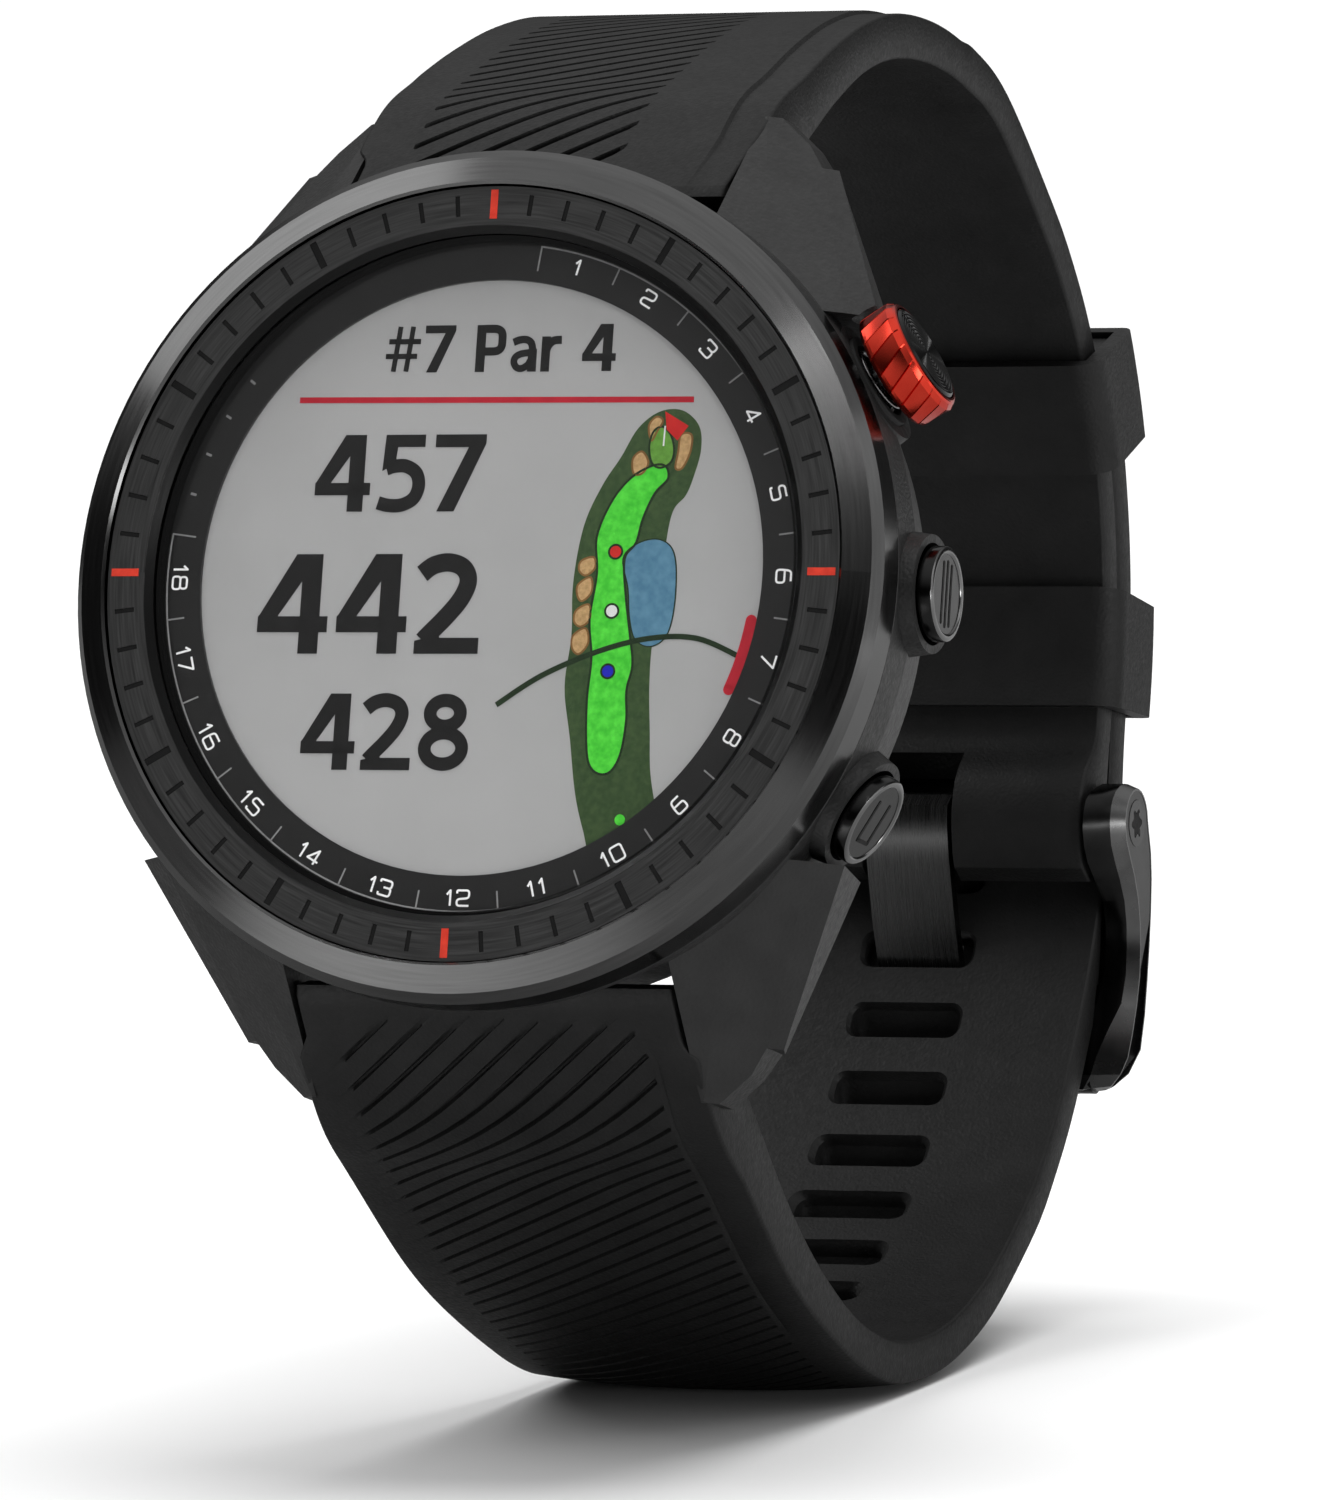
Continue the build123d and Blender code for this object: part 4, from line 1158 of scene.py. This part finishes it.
# short strap
band = with_root(SHORT_MID, SHORT_T, -1, 1)
half_short = width_by(band.length_at(24.0, 24.3), band.length_at(40, 27.3),
                      WIDE_HALF, TAPER_HALF, band.length_at(15.6, 20.6))
G = dict(first=-3.7, top=1.5, end=band.length_at(49.0, 25.9), pitch=1.38,
         k=0.56, flare=-0.10, reach=3.5)
rows = groove_rows(mirror=True, wide=0.20, relax=26.0, total=band.length,
                   **G)
cols = columns_for(HALF, [-8.5, -8.38, -8.26, 3.58, 3.7, 3.82, 9.38, 9.55],
                   22)
PANEL_END = band.length_at(52.0, 24.9)


def panel_step(x, u):
    """the grooved panel stands proud of a margin on the right"""
    x *= HALF / (half_short(u) - EDGE)
    return 0.22 * ease((x - 9.36) / 0.2) * ease((PANEL_END - u) / 2) * ease(
        u - 1.2)


deep = groove_depth(last=8.38, mirror=True, wide=0.20, deep=0.36,
                    half=half_short, extra=panel_step, **G)
short_strap = strap("strap_short_skin", band, half_short, rows, cols, deep,
                    M["strap_silicone"], EDGE, panel_step)
tools = [round_cut(*TOP_BAR, BAR_R, PAST_EDGE),
         round_cut(*PIN, PIN_R, PAST_EDGE)]
tools += pocket(latch_plane(TOP_BAR, SHORT_MID[1], 1), -1)
o = spot(0, 64, 0)
tools.append(box_cut((o, Vector((1, 0, 0)), Vector((0, 0, 1)),
                      Vector((0, 1, 0))), -2.9, 2.9, -36.4, -16.4, 0, 20))
cut(short_strap, tools)
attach(short_strap, ROOT)
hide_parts("strap_short")
soften(short_strap, 32)


# ---------------------------------------------------------------- buttons
def lathe_rows(name, plane, rows, mat, body, n=72, shape=None,
               node=None, angle=24, twist=0.0):
    """turned piece on a button axis: rows are (axial, radius)"""
    origin, ux, uy, uz = plane
    verts, faces = [], []
    for z, r in rows:
        for k in range(n):
            a = 2 * math.pi * k / n
            rr, zz = (r, z) if shape is None else shape(a, z, r)
            a -= (z - rows[0][0]) * twist
            verts.append(origin + (ux * (rr * math.cos(a)) + uy * (
                rr * math.sin(a)) + uz * zz) * MM)
    m = len(rows)
    for j in range(m):
        for k in range(n):
            a, b = j * n, ((j + 1) % m) * n
            faces.append((a + k, a + (k + 1) % n, b + (k + 1) % n, b + k))
    ob = piece(name, verts, faces, mat, body, angle=angle,
               clean=2e-7)
    if node:
        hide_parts(node)
    return ob


def button_plane(clock, z=-6.8):
    """axis of a button: clock is degrees above 3 o'clock"""
    a = math.radians(clock)
    uz = Vector(X_AXIS) * math.cos(a) + Vector(NOON) * math.sin(a)
    ux = Vector(OUT)
    return dial(0, 0, z), ux, uz.cross(ux), uz


TOP = button_plane(30)
RIBS = 20


def facets(a, z, r):
    """flats on the red ring, parted by fine lines"""
    if r < 3.2:
        return r, z
    t = (a * RIBS / (2 * math.pi) + 1e-6) % 1.0
    turn = (t - 0.5) * 2 * math.pi / RIBS
    flat = r * math.cos(math.pi / RIBS) / math.cos(turn)
    return flat - 0.09 * (t < 0.01), z


ring_rows = [(24.22, 2.80), (24.22, 3.12), (24.30, 3.24), (24.42, 3.33)]
ring_rows += [(24.42 + 1.62 * k / 10, 3.35) for k in range(1, 11)]
ring_rows += [(26.10, 3.31), (26.34, 3.14), (26.44, 3.04), (26.48, 2.95),
              (26.48, 2.84), (26.30, 2.82)]
lathe_rows("red_ring_faceted", TOP, ring_rows, M["red_anodised"], "top_button",
           n=RIBS * 18, shape=facets,
           node="top_button_red_ring", angle=7,
           twist=0.84 * math.pi / RIBS)
lathe_rows("red_ring_hub", TOP, [
    (24.24, 1.1), (24.24, 1.5), (24.72, 1.5), (24.72, 2.0), (24.24, 2.0),
    (24.24, 2.84), (24.80, 2.84), (24.80, 1.1)], M["seal_rubber"],
    "top_button")

# black disc with fine rings
disc_rows = [(24.85, 0.0), (24.85, 2.74), (26.46, 2.74), (26.55, 2.66)]
for k in range(10):
    r = 2.52 - 0.235 * k
    disc_rows += [(26.59, r + 0.06), (26.59, r), (26.53, r - 0.03),
                  (26.53, r - 0.09), (26.59, r - 0.12)]
disc_rows += [(26.59, 0.0)]
lathe_rows("top_disc_turned", TOP, disc_rows, M["button_metal"], "top_button",
           node="top_button_disc")


def cap(tag, clock):
    """round cap: glossy face sunk inside a polished rim; the rim's lighter metal is a
    painted highlight
    """
    at = button_plane(clock)
    body = tag + "_button"
    lathe_rows(tag + "_cap_turned", at, [
        (23.78, 0.0), (23.78, 1.5), (24.45, 1.5), (24.45, 2.0),
        (23.78, 2.0), (23.78, 2.48), (23.90, 2.58), (24.05, 2.60),
        (24.88, 2.60), (24.98, 2.57), (24.98, 0.0)], M["button_metal"], body,
        node=tag + "_button_cap")
    lathe_rows(tag + "_cap_rim", at, [
        (24.99, 2.15), (24.99, 2.56), (25.05, 2.50), (25.09, 2.40),
        (25.09, 2.28), (25.05, 2.20)], M["button_rim_highlight"], body)
    return at, body


MARK_LEVELS = (24.985, 25.004)  # just proud of the face of a cap


def bar_on(at, x, y, w, h):
    """low bar on a cap face: x out of the dial, y along the rim"""
    o, ux, uy, uz = at
    verts = []
    ring = pill(w, h, min(w, h) * 0.49, 5)
    for z in MARK_LEVELS:
        verts += [o + (ux * (x + px) + uy * (y + py) + uz * z) * MM
                  for px, py in ring]
    n = len(ring)
    return verts, ends(n, 2) + sides(n, 2)


def marks(name, at, body, bars):
    verts, faces = [], []
    for b in bars:
        v, f = bar_on(at, *b)
        faces += [[i + len(verts) for i in q] for q in f]
        verts += v
    piece(name, verts, faces, M["cap_mark_and_socket_shade"], body,
          smooth=False)


at, body = cap("mid", 0)
marks("mid_cap_lines", at, body, [(0.62 * k, 0, 0.24, 3.7 - 0.25 * abs(k))
                                  for k in (-1, 0, 1)])
at, body = cap("low", -30)
marks("low_cap_mark", at, body, [
    (-0.75, 0.0, 0.24, 2.5), (0.75, 0.0, 0.24, 2.5), (0.0, 1.2, 1.7, 0.24)])


# ----------------------------------------------------------------- buckle
def side_outline(grow):
    """side view of a buckle arm; grow moves the outline outward"""
    front = [(68.05, -20.6), (68.2, -21.6), (68.75, -22.6), (69.45, -23.8),
             (70.0, -25.2), (70.2, -26.6), (70.15, -28.0), (69.85, -29.6),
             (69.2, -31.2), (68.4, -32.8), (67.75, -34.2), (67.55, -35.3)]
    bottom = [(67.9, -36.2), (68.7, -36.62), (69.5, -36.45)]
    rear = [(70.05, -35.6), (70.6, -34.2), (71.3, -32.2), (71.85, -30.2),
            (72.4, -28.2), (72.85, -26.2), (73.15, -24.2), (73.15, -22.6),
            (72.9, -21.4)]
    eye = [(PIN[0] + 2.35 * math.cos(math.radians(a)),
            PIN[1] + 2.35 * math.sin(math.radians(a)))
           for a in range(0, 181, 15)]
    ring = front + bottom + rear + eye[:-1]
    out = []
    n = len(ring)
    for k, p in enumerate(ring):
        a, b = Vector(ring[k - 1]), Vector(ring[(k + 1) % n])
        t = (b - a).normalized()
        out.append((p[0] + t.y * grow, p[1] - t.x * grow))
    return out


def reach_x(z):
    """outer x of the frame: square above, rounded lower corners"""
    d = max(0.0, -33.6 - z)
    return 10.5 + math.sqrt(max(9.0 - d * d, 0.0))


def arm_part(sign, levels, fill):
    """levels: (fraction of the way to the outer face, growth, forward)"""
    verts = []
    for part, grow, ahead in levels:
        for y, z in side_outline(grow):
            inner = 11.4 - 3.4 * ease((-30.5 - z) / 4)
            wide = reach_x(z) - inner
            f = ahead * ease((z + 33.0) / 8.0) * (y < 70.2) * ease(
                (70.3 - y) / 1.4)
            x = inner + wide * part
            verts.append(spot(sign * x, y - f, z))
    n = len(verts) // len(levels)
    faces = sides(n, len(levels))
    if fill:
        faces += ends(n, len(levels))
    return verts, faces


def joined(name, parts, mat, node=None, smooth=28):
    verts, faces = [], []
    for v, f in parts:
        faces += [[i + len(verts) for i in q] for q in f]
        verts += v
    ob = piece(name, verts, faces, mat, "buckle",
               angle=smooth, clean=2e-7)
    if node:
        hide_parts(node)
    return ob


def cross_bar():
    """flattened round bar across the foot of the frame"""
    verts = []
    for x in (-11.0, 11.0):
        for k in range(28):
            a = 2 * math.pi * k / 28
            verts.append(spot(x, 68.85 + 1.18 * math.cos(a),
                              -35.38 + 1.2 * math.sin(a)))
    return verts, ends(28, 2) + sides(28, 2)


arms = [arm_part(s, ((0.0, 0.0, 1.5), (0.35, 0.0, 1.0), (0.64, 0.0, 0.4),
                     (0.97, -0.30, 0.0)), True) for s in (-1, 1)]
joined("buckle_frame_bevelled", arms + [cross_bar()], M["buckle_metal"],
       "buckle_frame")
# polished bevel of the arms, drawn in a lighter copy of the buckle metal as a painted
# highlight line
edges = [arm_part(s, ((0.63, 0.012, 0.41), (0.98, -0.28, 0.0),
                      (0.98, -0.42, 0.0), (0.90, -0.42, 0.0)), False)
         for s in (-1, 1)]
for v, f in edges:
    n = len(v) // 4
    f += [(3 * n + j, 3 * n + (j + 1) % n, (j + 1) % n, j)
          for j in range(n)]
joined("buckle_polished_edge_highlight", edges, M["buckle_bevel_highlight"])


def lobes(a, z, r):
    if 0.05 < r < 0.9:
        r *= 1 + 0.20 * math.cos(6 * a)
    return r, z


for tag, s in (("right", 1), ("left", -1)):
    uz = Vector((s, 0, 0))
    ux = Vector((0, 1, 0))
    at = (spot(0, *PIN), ux, uz.cross(ux), uz)
    ob = lathe_rows("buckle_screw_" + tag, at, [
        (12.95, 0.0), (12.95, 1.46), (13.40, 1.46), (13.47, 1.38),
        (13.47, 0.78), (13.44, 0.74), (13.10, 0.72), (13.10, 0.0)],
        M["button_metal"], "buckle", shape=lobes,
        node="buckle_screws" if s > 0 else None)
    # socket: a near-black plug filling the six-lobe recess almost to its top, painted
    # shade for the depth of the recess
    lathe_rows("buckle_socket_" + tag, at, [
        (13.11, 0.0), (13.11, 0.70), (13.455, 0.70), (13.455, 0.0)],
        M["cap_mark_and_socket_shade"], "buckle", shape=lobes)


# ------------------------------------------------------------------ stage
FOCUS = Vector((0, 0, 0.045))
for name, centre, width, height, watts in (
        ("left_top", (-0.55, -0.10, 0.62), 0.30, 0.50, 1.0),
        ("right_soft", (0.72, 0.06, 0.16), 0.45, 0.80, 0.95),
        ("right_low", (0.62, -0.33, 0.05), 0.30, 0.10, 0.8),
        ("streak", (0.30, -0.52, 0.62), 0.03, 0.30, 0.16)):
    la = bpy.data.lights.new(name, "AREA")
    la.shape, la.size, la.size_y = "RECTANGLE", width, height
    la.energy = watts
    ob = bpy.data.objects.new(name, la)
    ob.location = centre
    ob.rotation_mode = "QUATERNION"
    ob.rotation_quaternion = (FOCUS - Vector(centre)).to_track_quat(
        "-Z", "Y")
    bpy.context.scene.collection.objects.link(ob)

sun = bpy.data.lights.new("overhead", "SUN")
sun.energy, sun.angle = 2.1, math.radians(45)
ob = bpy.data.objects.new("overhead", sun)
ob.rotation_euler = (math.radians(-8), math.radians(6), 0)
ob.visible_glossy = False        # lights the floor, not the metal
bpy.context.scene.collection.objects.link(ob)

# white behind the object; for its light, a dome that is dark low down
world = bpy.data.worlds.new("studio")
world.use_nodes = True
t = world.node_tree
bg = t.nodes["Background"]
where = t.nodes.new("ShaderNodeTexCoord")
sep = t.nodes.new("ShaderNodeSeparateXYZ")
t.links.new(where.outputs["Generated"], sep.inputs[0])
ramp = t.nodes.new("ShaderNodeMapRange")
for i, v in enumerate((0.30, 0.92, 0.035, 0.95)):
    ramp.inputs[i + 1].default_value = v
t.links.new(sep.outputs["Z"], ramp.inputs[0])
path = t.nodes.new("ShaderNodeLightPath")
mix = t.nodes.new("ShaderNodeMix")
t.links.new(path.outputs["Is Camera Ray"], mix.inputs["Factor"])
t.links.new(ramp.outputs[0], mix.inputs["A"])
mix.inputs["B"].default_value = 1.0
t.links.new(mix.outputs["Result"], bg.inputs["Strength"])
bg.inputs["Color"].default_value = (1, 1, 1, 1)
bpy.context.scene.world = world

floor_m = Finish("floor", Specular_IOR_Level=0.1)
pale = floor_m.colour(floor_m.noise(60), (0.3, grey(0.90)),
                      (0.7, grey(0.93)))
floor_m.rough(floor_m.noise(20), 0.75, 0.85)
away = floor_m.new("ShaderNodeVectorMath", operation="DISTANCE")
away.inputs[1].default_value = (-0.045, -0.125, 0)
floor_m.link(floor_m.pos, away.inputs[0])
# what metal mirrors of the floor: bright in front on the left and far right
patch = floor_m.span(away.outputs["Value"], 2.2, 0.24, 0.012, 0.075)
patch = floor_m.math("MAXIMUM", patch, floor_m.span(
    floor_m.dot(X_AXIS), 0.24, 0.70, -0.10, 0.20))
ray = floor_m.new("ShaderNodeLightPath")
level = floor_m.new("ShaderNodeMix")
floor_m.link(ray.outputs["Is Glossy Ray"], level.inputs["Factor"])
level.inputs["A"].default_value = 1.0
floor_m.link(patch, level.inputs["B"])
dim = floor_m.new("ShaderNodeVectorMath", operation="SCALE")
floor_m.link(pale, dim.inputs[0])
floor_m.link(level.outputs["Result"], dim.inputs["Scale"])
floor_m.link(dim.outputs[0], floor_m.b.inputs["Base Color"])
me = bpy.data.meshes.new("floor")
bm = bmesh.new()
bmesh.ops.create_grid(bm, x_segments=8, y_segments=8, size=4.0)
bm.to_mesh(me)
bm.free()
me.materials.append(floor_m.m)
floor = bpy.data.objects.new("floor", me)
floor.location = (0, 0, -0.00002)
bpy.context.scene.collection.objects.link(floor)

NODES["lens"].visible_shadow = False

# camera: 21 degrees round from the front, 5 degrees up
right = Vector((0.93239, 0.36021, -0.03015))
up = Vector((-0.00399, 0.09366, 0.99560))
back = right.cross(up).normalized()
right = up.cross(back).normalized()
cam = bpy.data.objects.new("camera", bpy.data.cameras.new("camera"))
cam.data.lens, cam.data.sensor_width = 288.7, 36.0
cam.data.clip_start, cam.data.clip_end = 0.05, 20.0
cam.matrix_world = Matrix.Translation(
    (CENTRE + right * 10.3817 - up * 9.6243 + back * 650) * MM) @ Matrix(
        (right, up, back)).transposed().to_4x4()
bpy.context.scene.collection.objects.link(cam)
bpy.context.scene.camera = cam
bpy.context.scene.view_settings.view_transform = "Standard"
